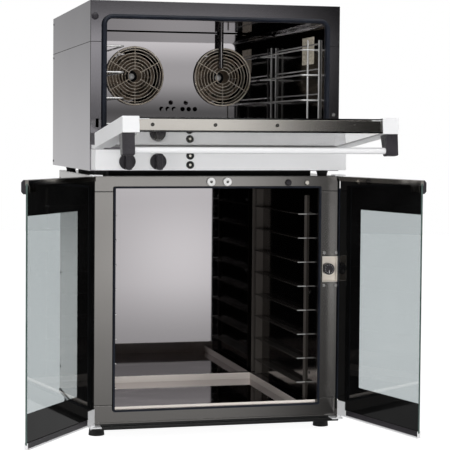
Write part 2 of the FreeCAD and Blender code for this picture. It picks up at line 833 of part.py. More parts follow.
def hinge_block():
    """Right hinge block on the jamb, with its pin through the strap's eye."""
    x1 = door_half - EYE_SIDE + FREE_FIT + KNUCKLE_WIDTH
    x0 = x1 - KNUCKLE_WIDTH
    nose = drum_x(oven_pin.y, oven_pin.z, EYE_RADIUS, (x0, x1))
    arm = block((x0, x1), (oven_pin.y, oven_front), (oven_pin.z - EYE_RADIUS, oven_pin.z + EYE_RADIUS))
    pin = drum_x(oven_pin.y, oven_pin.z, PIN_RADIUS, (x0 - FREE_FIT - EYE_WIDTH, x0))
    return fuse([nose, arm, pin])


def handle_bracket():
    """Right handle bracket: a wedge on the stile that narrows to its nose."""
    top = door_bottom + DOOR_LENGTH - BRACKET_END
    foot = top - BRACKET_HEIGHT
    nose = top - BRACKET_NOSE
    front = door_outer - BRACKET_STAND
    outline = [(door_outer, foot), (door_outer, top), (front, top), (front, nose)]
    wedge = profile_x(outline, (door_half - BRACKET_WIDTH, door_half))
    return round_front(wedge, BRACKET_ROUND)


def handle_bar():
    """Bar between the two brackets."""
    y = door_outer - BAR_OFF
    z = door_bottom + DOOR_LENGTH - BRACKET_END - BRACKET_NOSE / 2
    return drum_x(y, z, BAR_RADIUS, both(door_half - BRACKET_WIDTH))


# Proofer shell

def proofer_opening(y):
    """Front opening of the proofer as a cutter."""
    return block(both(opening_half), y, (opening_bottom, opening_top))


def proofer_plinth():
    """Base tray, recess and bottom rail, folded and welded as one piece."""
    tray_y = (-PLINTH_LEDGE, PROOFER_DEPTH)
    half = proofer_half + PLINTH_LEDGE
    tray = block(both(half), tray_y, (plinth_bottom, plinth_top))
    hollow = block(
        both(half - SHEET),
        (-PLINTH_LEDGE + SHEET, PROOFER_DEPTH - SHEET),
        (plinth_bottom, plinth_top - SHEET),
    )
    inner = both(proofer_half - SHEET)
    riser = block(inner, (RECESS_DEPTH, RECESS_DEPTH + SHEET), (plinth_top, rail_bottom))
    shelf = block(inner, (0, RECESS_DEPTH + SHEET), (rail_bottom, rail_bottom + SHEET))
    rail = block(both(proofer_half), (0, SHEET), (rail_bottom, opening_bottom + SILL_TAB))
    return fuse([tray.cut(hollow), riser, shelf, rail.cut(proofer_opening((0, SHEET)))])


def proofer_lid():
    """Top sheet folded down into the head rail."""
    y = (0, PROOFER_DEPTH)
    sheet = block(both(proofer_half), y, (proofer_top_z - SHEET, proofer_top_z))
    rail = block(both(proofer_half), (0, SHEET), (opening_top - HEAD_TAB, proofer_top_z))
    lid = fuse([sheet, rail.cut(proofer_opening((0, SHEET)))])
    z = proofer_top_z - BUTTON_DROP
    lid = lid.cut(drum_y(button_x, z, BUTTON_RADIUS + FREE_FIT, (0, SHEET)))
    return lid.cut(drum_y(signal_x, z, SIGNAL_BARREL_RADIUS, (0, SHEET)))


def proofer_side():
    """Right side sheet folded round the front into a post."""
    side = block(
        (proofer_half - SHEET, proofer_half),
        (SHEET, PROOFER_DEPTH - SHEET),
        (plinth_top, proofer_top_z - SHEET),
    )
    post_z = (opening_bottom + SILL_TAB, opening_top - HEAD_TAB)
    post = block((opening_half, proofer_half), (0, SHEET), post_z)
    lip = block((opening_half, opening_half + SHEET), (0, SHEET + POST_RETURN), post_z)
    return fuse([side, post, lip])


def proofer_back():
    """Rear sheet with its gland hole."""
    y = (PROOFER_DEPTH - SHEET, PROOFER_DEPTH)
    sheet = block(both(proofer_half), y, (plinth_top, proofer_top_z - SHEET))
    return sheet.cut(drum_y(GLAND_X, plinth_top + GLAND_RISE, GLAND_TAIL_RADIUS, y))


def liner_half():
    """Inner half width of the proofer liner, outside the posts' returns."""
    return opening_half + SHEET


def proofer_liner():
    """Proofing chamber behind the front frame, open to the front."""
    half = liner_half()
    z = (pan_floor(), opening_top + SHEET)
    outer = block(
        both(half + SHEET), (SHEET, LINER_DEPTH + SHEET), (z[0] - SHEET, z[1] + SHEET)
    )
    liner = outer.cut(block(both(half), (SHEET, LINER_DEPTH), z))
    for x, height in wall_screw_places():
        liner = liner.cut(screw_hole(x, LINER_DEPTH, height))
    return liner


def proofer_seal():
    """Dark seal round the front opening."""
    y = (-SEAL_DEPTH, 0)
    z = (opening_bottom - SEAL_WIDTH, opening_top + SEAL_WIDTH)
    ring = rounded_slab(opening_half + SEAL_WIDTH, z, SEAL_RADIUS, y)
    return ring.cut(proofer_opening(y))


def proofer_feet():
    """Four feet under the plinth."""
    height = plinth_top - SHEET
    x = proofer_half - PROOFER_FOOT_SIDE
    rows = (PROOFER_FOOT_END, PROOFER_DEPTH - PROOFER_FOOT_END)
    places = [Vec(side * x, y, 0) for side in (-1, 1) for y in rows]
    radii = (PROOFER_FOOT_RADIUS, PROOFER_FOOT_TOP_RADIUS)
    return group([Part.makeCone(*radii, height, place) for place in places])


# Proofer inside

def pan_floor():
    """Height of the sunken chamber floor that the pan lies on."""
    return opening_bottom - WELL_DEPTH


def pan_rim_top():
    """Height of the pan's side and rear rims."""
    return pan_floor() + PAN_RIM_HEIGHT


def proofer_rack():
    """Right tray rack: rear channel, front post and a flat ledge at each level."""
    wall = liner_half()
    first = opening_bottom + SHELF_FIRST
    top = first + SHELF_PITCH * (SHELF_LEVELS - 1) + SHELF_TOP_OVER
    channel_y = (LINER_DEPTH - CHANNEL_DEPTH, LINER_DEPTH)
    channel_z = (pan_rim_top() + CHANNEL_LIFT, top)
    channel = block((wall - CHANNEL_WIDTH, wall), channel_y, channel_z)
    hollow_y = (channel_y[0] + SHEET, channel_y[1] - SHEET)
    hollow = block((wall - CHANNEL_WIDTH, wall - SHEET), hollow_y, channel_z)
    post_y = (SHELF_FRONT, SHELF_FRONT + SHELF_POST)
    post_z = (pan_rim_top(), top)
    post = block((wall - SHELF_POST_WIDTH, wall), post_y, post_z)
    pieces = [channel.cut(hollow), post]
    for level in range(SHELF_LEVELS):
        z = first + SHELF_PITCH * level
        ledge_y = (SHELF_FRONT, channel_y[0] + SHEET)
        pieces.append(block((wall - SHELF_REACH, wall), ledge_y, (z, z + SHELF_LEDGE)))
    return fuse(pieces)


def floor_pan():
    """Water pan in the sunken floor: rims at the sides and the rear, a lip over the sill in front."""
    floor = pan_floor()
    half = liner_half() - PAN_FIT
    pan_y = (PAN_FRONT, LINER_DEPTH)
    pan = block(both(half), pan_y, (floor, pan_rim_top()))
    well_y = (PAN_FRONT + SHEET, LINER_DEPTH - PAN_REAR_RIM)
    well = block(both(half - PAN_RIM), well_y, (floor + SHEET, pan_rim_top()))
    lip = block(
        both(half), (PAN_FRONT, PAN_FRONT + SHEET), (floor, opening_bottom + PAN_LIP_OVER)
    )
    return fuse([pan.cut(well), lip])


def hairpin_heater():
    """Bent heating rod clipped under the chamber floor."""
    z = pan_floor() - SHEET - HAIRPIN_WIRE - WIRE_FIT
    half = HAIRPIN_WIDTH / 2
    rear = HAIRPIN_FRONT + HAIRPIN_LENGTH
    points = [
        Vec(-half, rear, z),
        Vec(-half, HAIRPIN_FRONT, z),
        Vec(half, HAIRPIN_FRONT, z),
        Vec(half, rear, z),
    ]
    return bent_wire(points, half / 2, HAIRPIN_WIRE)


# Proofer fittings

def door_magnet():
    """Right door magnet on the head rail."""
    disc = drum_y(MAGNET_X, proofer_top_z - MAGNET_DROP, MAGNET_RADIUS, (-MAGNET_DEPTH, 0))
    return round_front(disc, MAGNET_ROUND)


def button_unit_y():
    """Front of the button's switch body, clear of the pressed button."""
    return BUTTON_DEPTH - BUTTON_PROUD + BUTTON_TRAVEL + FREE_FIT


def push_button():
    """Push button with its stem in the switch body."""
    z = proofer_top_z - BUTTON_DROP
    rear = BUTTON_DEPTH - BUTTON_PROUD
    cap = round_front(drum_y(button_x, z, BUTTON_RADIUS, (-BUTTON_PROUD, rear)), BUTTON_ROUND)
    stem = drum_y(button_x, z, SHAFT_RADIUS, (rear, button_unit_y() + SHAFT_ENTRY))
    return fuse([cap, stem])


def proofer_lamp():
    """Small lamp in the head rail."""
    z = proofer_top_z - BUTTON_DROP
    bezel = round_front(drum_y(signal_x, z, SIGNAL_BEZEL_RADIUS, (-SIGNAL_BEZEL, 0)), SIGNAL_ROUND)
    return fuse([bezel, drum_y(signal_x, z, SIGNAL_BARREL_RADIUS, (0, SIGNAL_BARREL))])


def pocket_z():
    """Lower and upper edge of the dial pocket."""
    return (opening_bottom + POCKET_RISE, opening_bottom + POCKET_RISE + POCKET_HEIGHT)


def pocket_middle():
    """Height of the dial's axis."""
    return sum(pocket_z()) / 2


def dial_pocket():
    """Recessed plate in the right post that carries the dial."""
    cup = block((pocket_left, pocket_right), (0, POCKET_DEPTH), pocket_z())
    z0, z1 = pocket_z()
    hollow = block(
        (pocket_left + SHEET, pocket_right - SHEET),
        (0, POCKET_DEPTH - SHEET),
        (z0 + SHEET, z1 - SHEET),
    )
    hole_y = (POCKET_DEPTH - SHEET, POCKET_DEPTH)
    hole = drum_y(dial_x, pocket_middle(), SHAFT_RADIUS + SHAFT_HOLE_FIT, hole_y)
    return cup.cut(hollow).cut(hole)


def dial_knob():
    """Round dial in the pocket, with its shaft."""
    z = pocket_middle()
    rear = POCKET_DEPTH - SHEET - FREE_FIT
    cap = round_front(drum_y(dial_x, z, DIAL_RADIUS, (-DIAL_PROUD, rear)), DIAL_ROUND)
    return fuse([cap, drum_y(dial_x, z, SHAFT_RADIUS, (rear, POCKET_DEPTH + SHAFT_ENTRY))])


def pocket_screw_places():
    """Screw centres above and below the dial pocket."""
    middle = (pocket_left + pocket_right) / 2
    z0, z1 = pocket_z()
    heights = (z0 - POCKET_SCREW_OFF, z1 + POCKET_SCREW_OFF)
    return [(middle + side * POCKET_SCREW_SPREAD, z) for side in (-1, 1) for z in heights]


def wall_screw_places():
    """Screw centres on the rear wall of the proofing chamber: two columns of three."""
    x = opening_half - WALL_SCREW_INSET
    low = opening_bottom + WALL_SCREW_RISE
    high = opening_top - WALL_SCREW_DROP
    return [(side * x, z) for side in (-1, 1) for z in (low, (low + high) / 2, high)]


def case_screws():
    """Pan-head screws of the dial pocket, the chamber wall and the right jamb."""
    screws = [screw(x, 0, z) for x, z in pocket_screw_places()]
    screws += [screw(x, LINER_DEPTH, z) for x, z in wall_screw_places()]
    screws.append(screw(JAMB_SCREW_X, oven_front, oven_bottom + JAMB_SCREW_RISE))
    return group(screws)


def cable_gland(y, z):
    """Gland through a rear sheet, open for a supply cord."""
    collar = drum_y(GLAND_X, z, GLAND_RADIUS, (y, y + GLAND_LENGTH))
    tail = drum_y(GLAND_X, z, GLAND_TAIL_RADIUS, (y - GLAND_TAIL, y))
    bore = drum_y(GLAND_X, z, GLAND_BORE_RADIUS, (y - GLAND_TAIL, y + GLAND_LENGTH))
    return fuse([collar, tail]).cut(bore)


# Proofer doors, built closed on the right and then swung open

def swing(shape, side):
    """A closed right-hand piece put on its side and turned to the open pose."""
    placed = shape.copy() if side == "right" else mirror_x(shape)
    turn = RIGHT_DOOR_SWING if side == "right" else -LEFT_DOOR_SWING
    x = door_axis_x if side == "right" else -door_axis_x
    placed.rotate(Vec(x, door_axis_y, 0), AXIS_Z, turn)
    return placed


def door_x():
    """Meeting edge and hinge edge of the closed right door."""
    return (DOOR_MEETING_GAP, door_axis_x + DOOR_HEEL)


def strip_z():
    """Lower and upper edge of the bottom strip."""
    low = plinth_top + STRIP_LIFT
    return (low, low + STRIP_HEIGHT)


def band_z():
    """Lower and upper edge of the top band."""
    high = proofer_top_z - BAND_CLEAR
    return (high - BAND_HEIGHT, high)


def leaf_y():
    """Outer and inner face of the strip and the band."""
    return (glass_outer - EDGE_LEAF, glass_inner + EDGE_LEAF)


def door_glass():
    """Glass leaf held by the strip and the band."""
    z = (strip_z()[0] + STRIP_SOLE, band_z()[1] - BAND_CAP)
    return block(door_x(), (glass_outer, glass_inner), z)


def bottom_strip():
    """Strip under the glass, with the hinge bore and a knee up the inner face."""
    low, high = strip_z()
    bar = block(door_x(), leaf_y(), (low, high))
    x1 = door_x()[1]
    knee = block((x1 - KNEE_WIDTH, x1), (glass_inner, leaf_y()[1]), (low, high + KNEE_HEIGHT))
    bore_z = (low, low + HINGE_PIN_ENTRY + FREE_FIT)
    bore = drum_z(door_axis_x, door_axis_y, HINGE_PIN_RADIUS + RUN_FIT, bore_z)
    return fuse([bar.cut(door_glass()), knee]).cut(bore)


def top_band():
    """Band over the glass, with the hinge bore and the catch for the magnet."""
    low, high = band_z()
    bar = block(door_x(), leaf_y(), (low, high))
    x0 = door_x()[0] + CATCH_INSET
    catch = block((x0, x0 + CATCH_WIDTH), (glass_inner, leaf_y()[1]), (low - CATCH_HEIGHT, high))
    bore_z = (high - HINGE_PIN_ENTRY - FREE_FIT, high)
    bore = drum_z(door_axis_x, door_axis_y, HINGE_PIN_RADIUS + RUN_FIT, bore_z)
    return fuse([bar.cut(door_glass()), catch]).cut(bore)


def door_grip():
    """Grip along the outer face of the top band."""
    face = leaf_y()[0]
    high = band_z()[1]
    front = face - GRIP_DEPTH
    low = high - GRIP_HEIGHT
    outline = [
        (face, low),
        (face, high),
        (front + GRIP_CHAMFER, high),
        (front, high - GRIP_CHAMFER),
        (front, low + GRIP_CHAMFER),
        (front + GRIP_CHAMFER, low),
    ]
    x0, x1 = door_x()
    return profile_x(outline, (x0 + GRIP_INSET, x1 - GRIP_INSET - HINGE_PLATE_SIDE))


def hinge_plate_x():
    """Inner and outer edge of the right hinge plates."""
    outer = door_axis_x + HINGE_PLATE_SIDE
    return (outer - HINGE_PLATE_WIDTH, outer)


def hinge_plate_bottom():
    """Right lower hinge plate on the plinth, with collar and pin."""
    x0, x1 = hinge_plate_x()
    z = (plinth_top, plinth_top + HINGE_PLATE)
    plate = block((x0, x1), (-HINGE_PLATE_REACH, 0), z)
    tail = block((x0, proofer_half - SHEET), (0, RECESS_DEPTH), z)
    low = strip_z()[0]
    collar = drum_z(door_axis_x, door_axis_y, HINGE_COLLAR_RADIUS, (plinth_top, low - FREE_FIT))
    pin = drum_z(door_axis_x, door_axis_y, HINGE_PIN_RADIUS, (plinth_top, low + HINGE_PIN_ENTRY))
    return fuse([plate, tail, collar, pin])


def hinge_plate_top():
    """Right upper hinge plate on the proofer's top, with its pin."""
    z = (proofer_top_z, proofer_top_z + HINGE_PLATE)
    plate = block(hinge_plate_x(), (-HINGE_PLATE_REACH, HINGE_PLATE_TAIL), z)
    pin = drum_z(door_axis_x, door_axis_y, HINGE_PIN_RADIUS, (band_z()[1] - HINGE_PIN_ENTRY, z[1]))
    return fuse([plate, pin])


def right_side():
    """Right side sheet with the dial pocket's window and screw holes."""
    side = proofer_side().cut(block((pocket_left, pocket_right), (0, SHEET), pocket_z()))
    for x, z in pocket_screw_places():
        side = side.cut(screw_hole(x, 0, z))
    return side


def right_jamb_side():
    """Right oven side with the screw hole in its jamb."""
    hole = screw_hole(JAMB_SCREW_X, oven_front, oven_bottom + JAMB_SCREW_RISE)
    return oven_side().cut(hole)


def make_nodes():
    """Every piece of the oven by name, in the open pose."""
    nodes = {
        "oven_hood": oven_hood(),
        "oven_side_left": mirror_x(oven_side()).cut(jamb_slot()),
        "oven_side_right": right_jamb_side(),
        "oven_back": oven_back(),
        "oven_base": oven_base(),
        "oven_liner": oven_liner(),
        "oven_gasket": oven_gasket(),
        "oven_feet": oven_feet(),
        "air_baffle": air_baffle(),
        "fan_guards": pair(fan_guard()),
        "fan_left": fan(-1),
        "fan_right": fan(1),
        "fan_motors": pair(fan_motor()),
        "ring_heaters": pair(ring_heater()),
        "steam_pipe": steam_pipe(),
        "oven_rack_left": oven_rack(-1),
        "oven_rack_right": oven_rack(1),
        "lamp_lens": lamp_lens(),
        "lamp_housing": lamp_housing(),
        "control_panel": control_panel(),
        "control_units": control_units(),
        "timer_knob": knob(KNOB_X[0]),
        "thermostat_knob": knob(KNOB_X[1]),
        "signal_lamps": group([pilot_lamp(rise) for rise in PILOT_RISES] + [proofer_lamp()]),
        "door_hinge_blocks": pair(hinge_block()),
        "proofer_plinth": proofer_plinth(),
        "proofer_lid": proofer_lid(),
        "proofer_side_left": mirror_x(proofer_side()),
        "proofer_side_right": right_side(),
        "proofer_back": proofer_back(),
        "proofer_liner": proofer_liner(),
        "proofer_seal": proofer_seal(),
        "proofer_feet": proofer_feet(),
        "proofer_rack_left": mirror_x(proofer_rack()),
        "proofer_rack_right": proofer_rack(),
        "floor_pan": floor_pan(),
        "hairpin_heater": hairpin_heater(),
        "door_magnets": pair(door_magnet()),
        "push_button": push_button(),
        "dial_pocket": dial_pocket(),
        "dial_knob": dial_knob(),
        "case_screws": case_screws(),
        "cable_glands": group([
            cable_gland(oven_rear, oven_bottom + GLAND_RISE),
            cable_gland(PROOFER_DEPTH, plinth_top + GLAND_RISE),
        ]),
        "hinge_plates": group([pair(hinge_plate_bottom()), pair(hinge_plate_top())]),
    }
    oven_door = {
        "door_stiles": pair(door_stile()),
        "door_rails": group([free_rail(), door_rail((PANE_INSET, PANE_INSET + RAIL_DEPTH))]),
        "door_outer_glass": door_pane(outer_pane_depth()),
        "door_inner_glass": door_pane(inner_pane_depth()),
        "door_hinge_straps": pair(hinge_strap()),
        "handle_brackets": pair(handle_bracket()),
        "handle_bar": handle_bar(),
        "door_screws": group([rail_screw(x, SCREW_SHANK_RADIUS) for x in RAIL_SCREW_X]),
    }
    for name, shape in oven_door.items():
        nodes[name] = open_oven_door(shape)
    for side in ("left", "right"):
        nodes[side + "_door_glass"] = swing(door_glass(), side)
        nodes[side + "_door_strip"] = swing(bottom_strip(), side)
        nodes[side + "_door_band"] = swing(top_band(), side)
        nodes[side + "_door_grip"] = swing(door_grip(), side)
    return nodes


def export(nodes):
    """One file for each piece, moved so that the origin is the reference point."""
    os.makedirs("parts", exist_ok=True)
    for name, shape in nodes.items():
        placed = shape.copy()
        placed.translate(Vec(-ORIGIN_X, -ORIGIN_Y, 0))
        placed.exportStep(f"parts/{name}.step")


export(make_nodes())
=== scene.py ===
import json
import math

import bmesh
import bpy
from mathutils import Matrix, Vector


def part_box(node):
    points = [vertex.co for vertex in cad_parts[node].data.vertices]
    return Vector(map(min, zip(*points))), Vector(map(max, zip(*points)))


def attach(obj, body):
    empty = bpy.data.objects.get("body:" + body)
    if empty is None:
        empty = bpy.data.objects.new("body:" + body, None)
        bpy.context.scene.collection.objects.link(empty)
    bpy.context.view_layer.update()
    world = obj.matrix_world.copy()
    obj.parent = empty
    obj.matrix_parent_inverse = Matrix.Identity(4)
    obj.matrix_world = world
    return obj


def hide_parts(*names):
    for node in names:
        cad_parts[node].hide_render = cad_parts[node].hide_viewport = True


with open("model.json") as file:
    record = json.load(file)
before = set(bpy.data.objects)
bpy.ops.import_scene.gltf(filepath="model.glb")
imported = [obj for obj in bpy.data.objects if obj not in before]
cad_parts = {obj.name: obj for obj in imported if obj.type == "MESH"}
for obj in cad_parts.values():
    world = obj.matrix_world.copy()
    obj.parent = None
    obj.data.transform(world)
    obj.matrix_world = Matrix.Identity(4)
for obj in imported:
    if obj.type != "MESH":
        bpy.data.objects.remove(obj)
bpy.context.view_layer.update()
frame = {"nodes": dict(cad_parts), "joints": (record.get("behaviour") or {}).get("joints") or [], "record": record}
nodes = frame["nodes"]
joints = {joint["name"]: joint for joint in frame["joints"]}
slot_of = {part["node"]: part["material_slot"] for part in frame["record"]["subparts"]}

MM = 0.001
panel_low, panel_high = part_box("control_panel")
CENTRE_X = (panel_low.x + panel_high.x) / 2
FRONT_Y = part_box("proofer_lid")[0].y

# Camera, fitted to the corners of the cabinet, the oven and the open doors.
CAMERA_PLACE = Vector((-1.077, -4.397, 0.940))
CAMERA_YAW = 0.2266
CAMERA_PITCH = -0.0397
CAMERA_ROLL = -0.0066
CAMERA_LENS = 113.0
CAMERA_SHIFT = (0.13, -0.08)

# Light levels: 1 is white in the picture.
WORLD_LEFT = 0.85
WORLD_FRONT = 0.12
KEY_WATTS = 84.0
FILL_WATTS = 50.0
SIDE_WATTS = 36.0
TOP_WATTS = 30.0
FLOOR_GLOW = 0.92
FLOOR_TONE = 0.50

# Tall soft panel that polished steel mirrors: tone by slope above the horizon.
PANEL_TONES = (
    (-0.30, 0.22), (-0.205, 0.31), (-0.16, 0.42), (-0.145, 0.46), (-0.11, 0.66), (-0.05, 0.70),
    (-0.03, 0.82), (-0.01, 0.66), (0.003, 0.24), (0.015, 0.10), (0.025, 0.30), (0.036, 0.56),
    (0.05, 0.56), (0.066, 1.0), (0.076, 0.50), (0.086, 0.18), (0.11, 0.10), (0.16, 0.30), (0.19, 0.45),
    (0.215, 0.95), (0.30, 0.95),
)
# Its soft edges, and a spot on it: across, rise, width, height, gain.
PANEL_EDGES = ((-0.06, 0.13), (0.27, 0.38))
PANEL_SPOT = (0.243, -0.09, 0.035, 0.03, 0.32)
# Bright card above the camera: its level, and its soft edges across and upwards.
TOP_CARD = 1.8
TOP_CARD_ACROSS = ((-0.9, -0.6), (0.4, 0.7))
TOP_CARD_RISE = ((0.32, 0.45), (0.75, 0.95))
# Grey wings at both sides: where they start and are full, and the tones there.
WINGS = (0.55, 1.1, 0.002, 0.30)
# Share of the studio that is left where steel mirrors steel.
TWICE_MIRRORED = 0.55

# Glass leaves of the cabinet, in millimetres out from the hinge, inward and up.
LEAF_OUT = (-2.9, 394.4)
LEAF_FACES = (-3.0, 3.0)
BORDER_TOP = 90.0
BORDER_BOTTOM = 88.0
BORDER_HINGE = 103.0
STRIP_COVER = ((44.0, 5.5, 57.0), (394.0, 6.0, 73.0))

# Rubber lips on the outer edges of the cabinet's posts, in millimetres.
LIP_WIDTH = 4.0
LIP_REACH = 11.0
LIP_CLEAR = 3.0
LIP_STEPS = 8

# Oven's front, in cabinet millimetres. The mouth gives half width, low, high and corner radius.
OVEN_FRONT = 30
MOUTH = (350, 930, 1287, 18)
MOUTH_FRAME = 366.0
HOOD_CAP = (-386, OVEN_FRONT, 1294)
PANEL_LAMP_X = -105
PANEL_LAMP_HEIGHTS = (843, 871)
TAB_SPAN = (322, 361)
TAB_DEPTH = (-462.0, -450.0)

# Oven's inside. The row of air holes gives its middle, pitch and height, the hole above it its place.
FAN_SPREAD = 156
FAN_HEIGHT = 1135
GUARD_RADIUS = 98.5
GUARD_WIRE = 2.6
HOLE_ROW = (37.5, 22.0, 1023.0)
HOLE_ABOVE = (27.0, 1045.0)
LAMP_GUARD_INSET = (41.0, 3.0)
RIB_PITCH = 11.8
RIB_DEPTH = 2.6

# Proofing cabinet. The lowest ledge gives its wall, front and height, magnets and dial x and height.
LEDGES = 8
LEDGE_FOOT = (326.5, 118.2, 135.0)
LEDGE_PITCH = 78.0
POST_SEAMS = (105.0, 760.0)
POST_SPAN = (333.0, 395.0)
RAIL_LAMP = (286, -4.0, 787)
MAGNETS = (26, 790)
DIAL = (362, 513.5)
DIAL_TICKS = 11
DIAL_RING = 13.2

# Heights of the screws on the oven's sides, the cabinet's sides and the chamber's right wall.
OVEN_SCREWS = (1322, 1203, 838)
CABINET_SCREWS = (780, 450, 120)
CHAMBER_SCREWS = (690, 432, 172)

TOWARDS_FRONT = (0, -1, 0)

# From millimetres off the cabinet's middle, its front frame and the floor, to the frame's metres.
CABINET_MM = Matrix.Translation((CENTRE_X, FRONT_Y, 0)) @ Matrix.Scale(MM, 4)


def box_mm(node):
    """Low and high corner of a node in cabinet millimetres."""
    return tuple(CABINET_MM.inverted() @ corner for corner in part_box(node))


# Materials

ALONG_X = (0.02, 1, 1)
ALONG_Z = (1, 1, 0.02)


def math_node(tree, operation, first, second):
    made = tree.nodes.new("ShaderNodeMath")
    made.operation = operation
    for socket, value in zip(made.inputs, (first, second)):
        if isinstance(value, bpy.types.NodeSocket):
            tree.links.new(value, socket)
        else:
            socket.default_value = value
    return made.outputs[0]


class Finish:
    """Node material round one Principled shader, with short calls for its textures."""

    def __init__(self, name, **values):
        self.material = bpy.data.materials.new(name)
        self.material.use_nodes = True
        self.tree = self.material.node_tree
        self.shader = self.tree.nodes["Principled BSDF"]
        for key, value in values.items():
            socket = self.shader.inputs[key.replace("_", " ")]
            socket.default_value = (*value, 1.0) if isinstance(value, tuple) else value

    def node(self, kind, **inputs):
        made = self.tree.nodes.new(kind)
        for key, value in inputs.items():
            socket = made.inputs[key.replace("_", " ")]
            if isinstance(value, bpy.types.NodeSocket):
                self.tree.links.new(value, socket)
            else:
                socket.default_value = value
        return made

    def to(self, name, output):
        self.tree.links.new(output, self.shader.inputs[name])

    def place(self, stretch):
        coordinates = self.node("ShaderNodeTexCoord")
        mapping = self.node("ShaderNodeMapping", Vector=coordinates.outputs["Object"])
        mapping.inputs["Scale"].default_value = stretch
        return mapping.outputs["Vector"]

    def noise(self, scale, stretch=(1, 1, 1), detail=3.0):
        made = self.node("ShaderNodeTexNoise", Vector=self.place(stretch), Scale=scale, Detail=detail)
        return made.outputs["Fac"]

    def facing(self):
        """Direction of the surface, as X, Y and Z."""
        geometry = self.node("ShaderNodeNewGeometry")
        return self.node("ShaderNodeSeparateXYZ", Vector=geometry.outputs["Normal"]).outputs

    def spread(self, value, low, high, start=0.3, stop=0.7):
        made = self.node("ShaderNodeMapRange", Value=value)
        made.inputs["From Min"].default_value = start
        made.inputs["From Max"].default_value = stop
        made.inputs["To Min"].default_value = low
        made.inputs["To Max"].default_value = high
        return made.outputs["Result"]

    def colours(self, value, low, high, start=0.3, stop=0.7):
        made = self.node("ShaderNodeValToRGB", Fac=value)
        for element, colour, place in zip(made.color_ramp.elements, (low, high), (start, stop)):
            element.color = (*colour, 1.0)
            element.position = place
        return made.outputs["Color"]

    def bump(self, height, strength, distance, edge=0.0):
        made = self.node("ShaderNodeBump", Height=height, Strength=strength, Distance=distance)
        if edge:
            rounded = self.node("ShaderNodeBevel", Radius=edge)
            rounded.samples = 4
            self.tree.links.new(rounded.outputs["Normal"], made.inputs["Normal"])
        self.to("Normal", made.outputs["Normal"])


def brushed(name, dark, light, rough, grain, metal=1.0, edge=0.0012, ripple=0.006):
    """Sheet steel with fine brush lines along the grain, faint clouds and rounded edges."""
    finish = Finish(name, Metallic=metal)
    lines = finish.noise(2400.0, grain, 2.0)
    clouds = finish.noise(3.5)
    finish.to("Base Color", finish.colours(clouds, dark, light))
    finish.to("Roughness", finish.spread(lines, rough * 0.85, rough * 1.2))
    finish.bump(lines, ripple, 0.0002, edge)
    return finish.material


def mirror_sheet(name, dull, bright, rough, wave):
    """Polished sheet with slow waves and wipe marks; the side walls are dull and dark, which is painted shade."""
    finish = Finish(name, Metallic=1.0)
    # Painted shade: faces turned sideways get the dull, dark colour; the wipe marks mixed in below are real.
    sideways = math_node(finish.tree, "ABSOLUTE", finish.facing()["X"], 0.0)
    level = finish.spread(sideways, 1.0, 0.0, 0.6, 0.9)
    waves = finish.noise(2.2, (1, 1, 0.6), 1.0)
    wipes = finish.noise(14.0, (1, 1, 0.35), 4.0)
    wipes_and_side_shade = math_node(finish.tree, "ADD", level, math_node(finish.tree, "MULTIPLY", wipes, 0.15))
    finish.to("Base Color", finish.colours(wipes_and_side_shade, dull, bright, 0.0, 1.0))
    finish.to("Roughness", finish.spread(wipes_and_side_shade, rough + 0.10, rough, 0.0, 1.0))
    finish.bump(waves, wave, 0.01)
    return finish.material


def moulded(name, dark, light, rough, grain=1500.0, depth=0.12):
    """Moulded plastic or rubber with a fine grain and slight colour clouds."""
    finish = Finish(name)
    finish.shader.inputs["Specular IOR Level"].default_value = 0.45
    grains = finish.noise(grain, detail=2.0)
    clouds = finish.noise(25.0)
    finish.to("Base Color", finish.colours(clouds, dark, light))
    finish.to("Roughness", finish.spread(grains, rough - 0.05, rough + 0.08))
    finish.bump(grains, depth, 0.0003)
    return finish.material


def clear_glass(name, tint, bend):
    """Clear pane whose tint varies a little, as wiped glass does."""
    finish = Finish(name, Roughness=0.0, IOR=bend)
    finish.shader.inputs["Transmission Weight"].default_value = 1.0
    wiped = finish.noise(6.0, (1, 1, 0.5), 5.0)
    finish.to("Base Color", finish.colours(wiped, tint, tuple(part * 0.97 for part in tint)))
    return finish.material


def printed_glass(name):
    """Black enamel printed behind the glass: deep and glossy, with a soft cloudy sheen."""
    finish = Finish(name)
    clouds = finish.noise(9.0)
    finish.to("Base Color", finish.colours(clouds, (0.003, 0.003, 0.003), (0.006, 0.006, 0.006)))
    finish.to("Roughness", finish.spread(clouds, 0.02, 0.06))
    return finish.material


def lamp_lens():
    """Frosted lens over the oven's lamp: cream, with a fine pressed ripple and a faint painted glow."""
    # Painted light: the lens glows faintly in its own cream.
    finish = Finish("lamp_lens", Emission_Strength=0.04)
    finish.shader.inputs["Transmission Weight"].default_value = 0.2
    ripple = finish.noise(140.0, detail=1.0)
    cream = finish.colours(finish.noise(30.0), (0.48, 0.43, 0.35), (0.66, 0.61, 0.51))
    finish.to("Base Color", cream)
    finish.to("Emission Color", cream)
    finish.to("Roughness", finish.spread(ripple, 0.2, 0.45))
    finish.bump(ripple, 0.5, 0.001)
    return finish.material


def painted(name, dark, light, rough):
    """Satin paint with a faint orange-peel surface."""
    finish = Finish(name)
    peel = finish.noise(320.0, detail=2.0)
    finish.to("Base Color", finish.colours(finish.noise(12.0), dark, light))
    finish.to("Roughness", finish.spread(peel, rough - 0.05, rough + 0.07))
    finish.bump(peel, 0.08, 0.0004, 0.0008)
    return finish.material


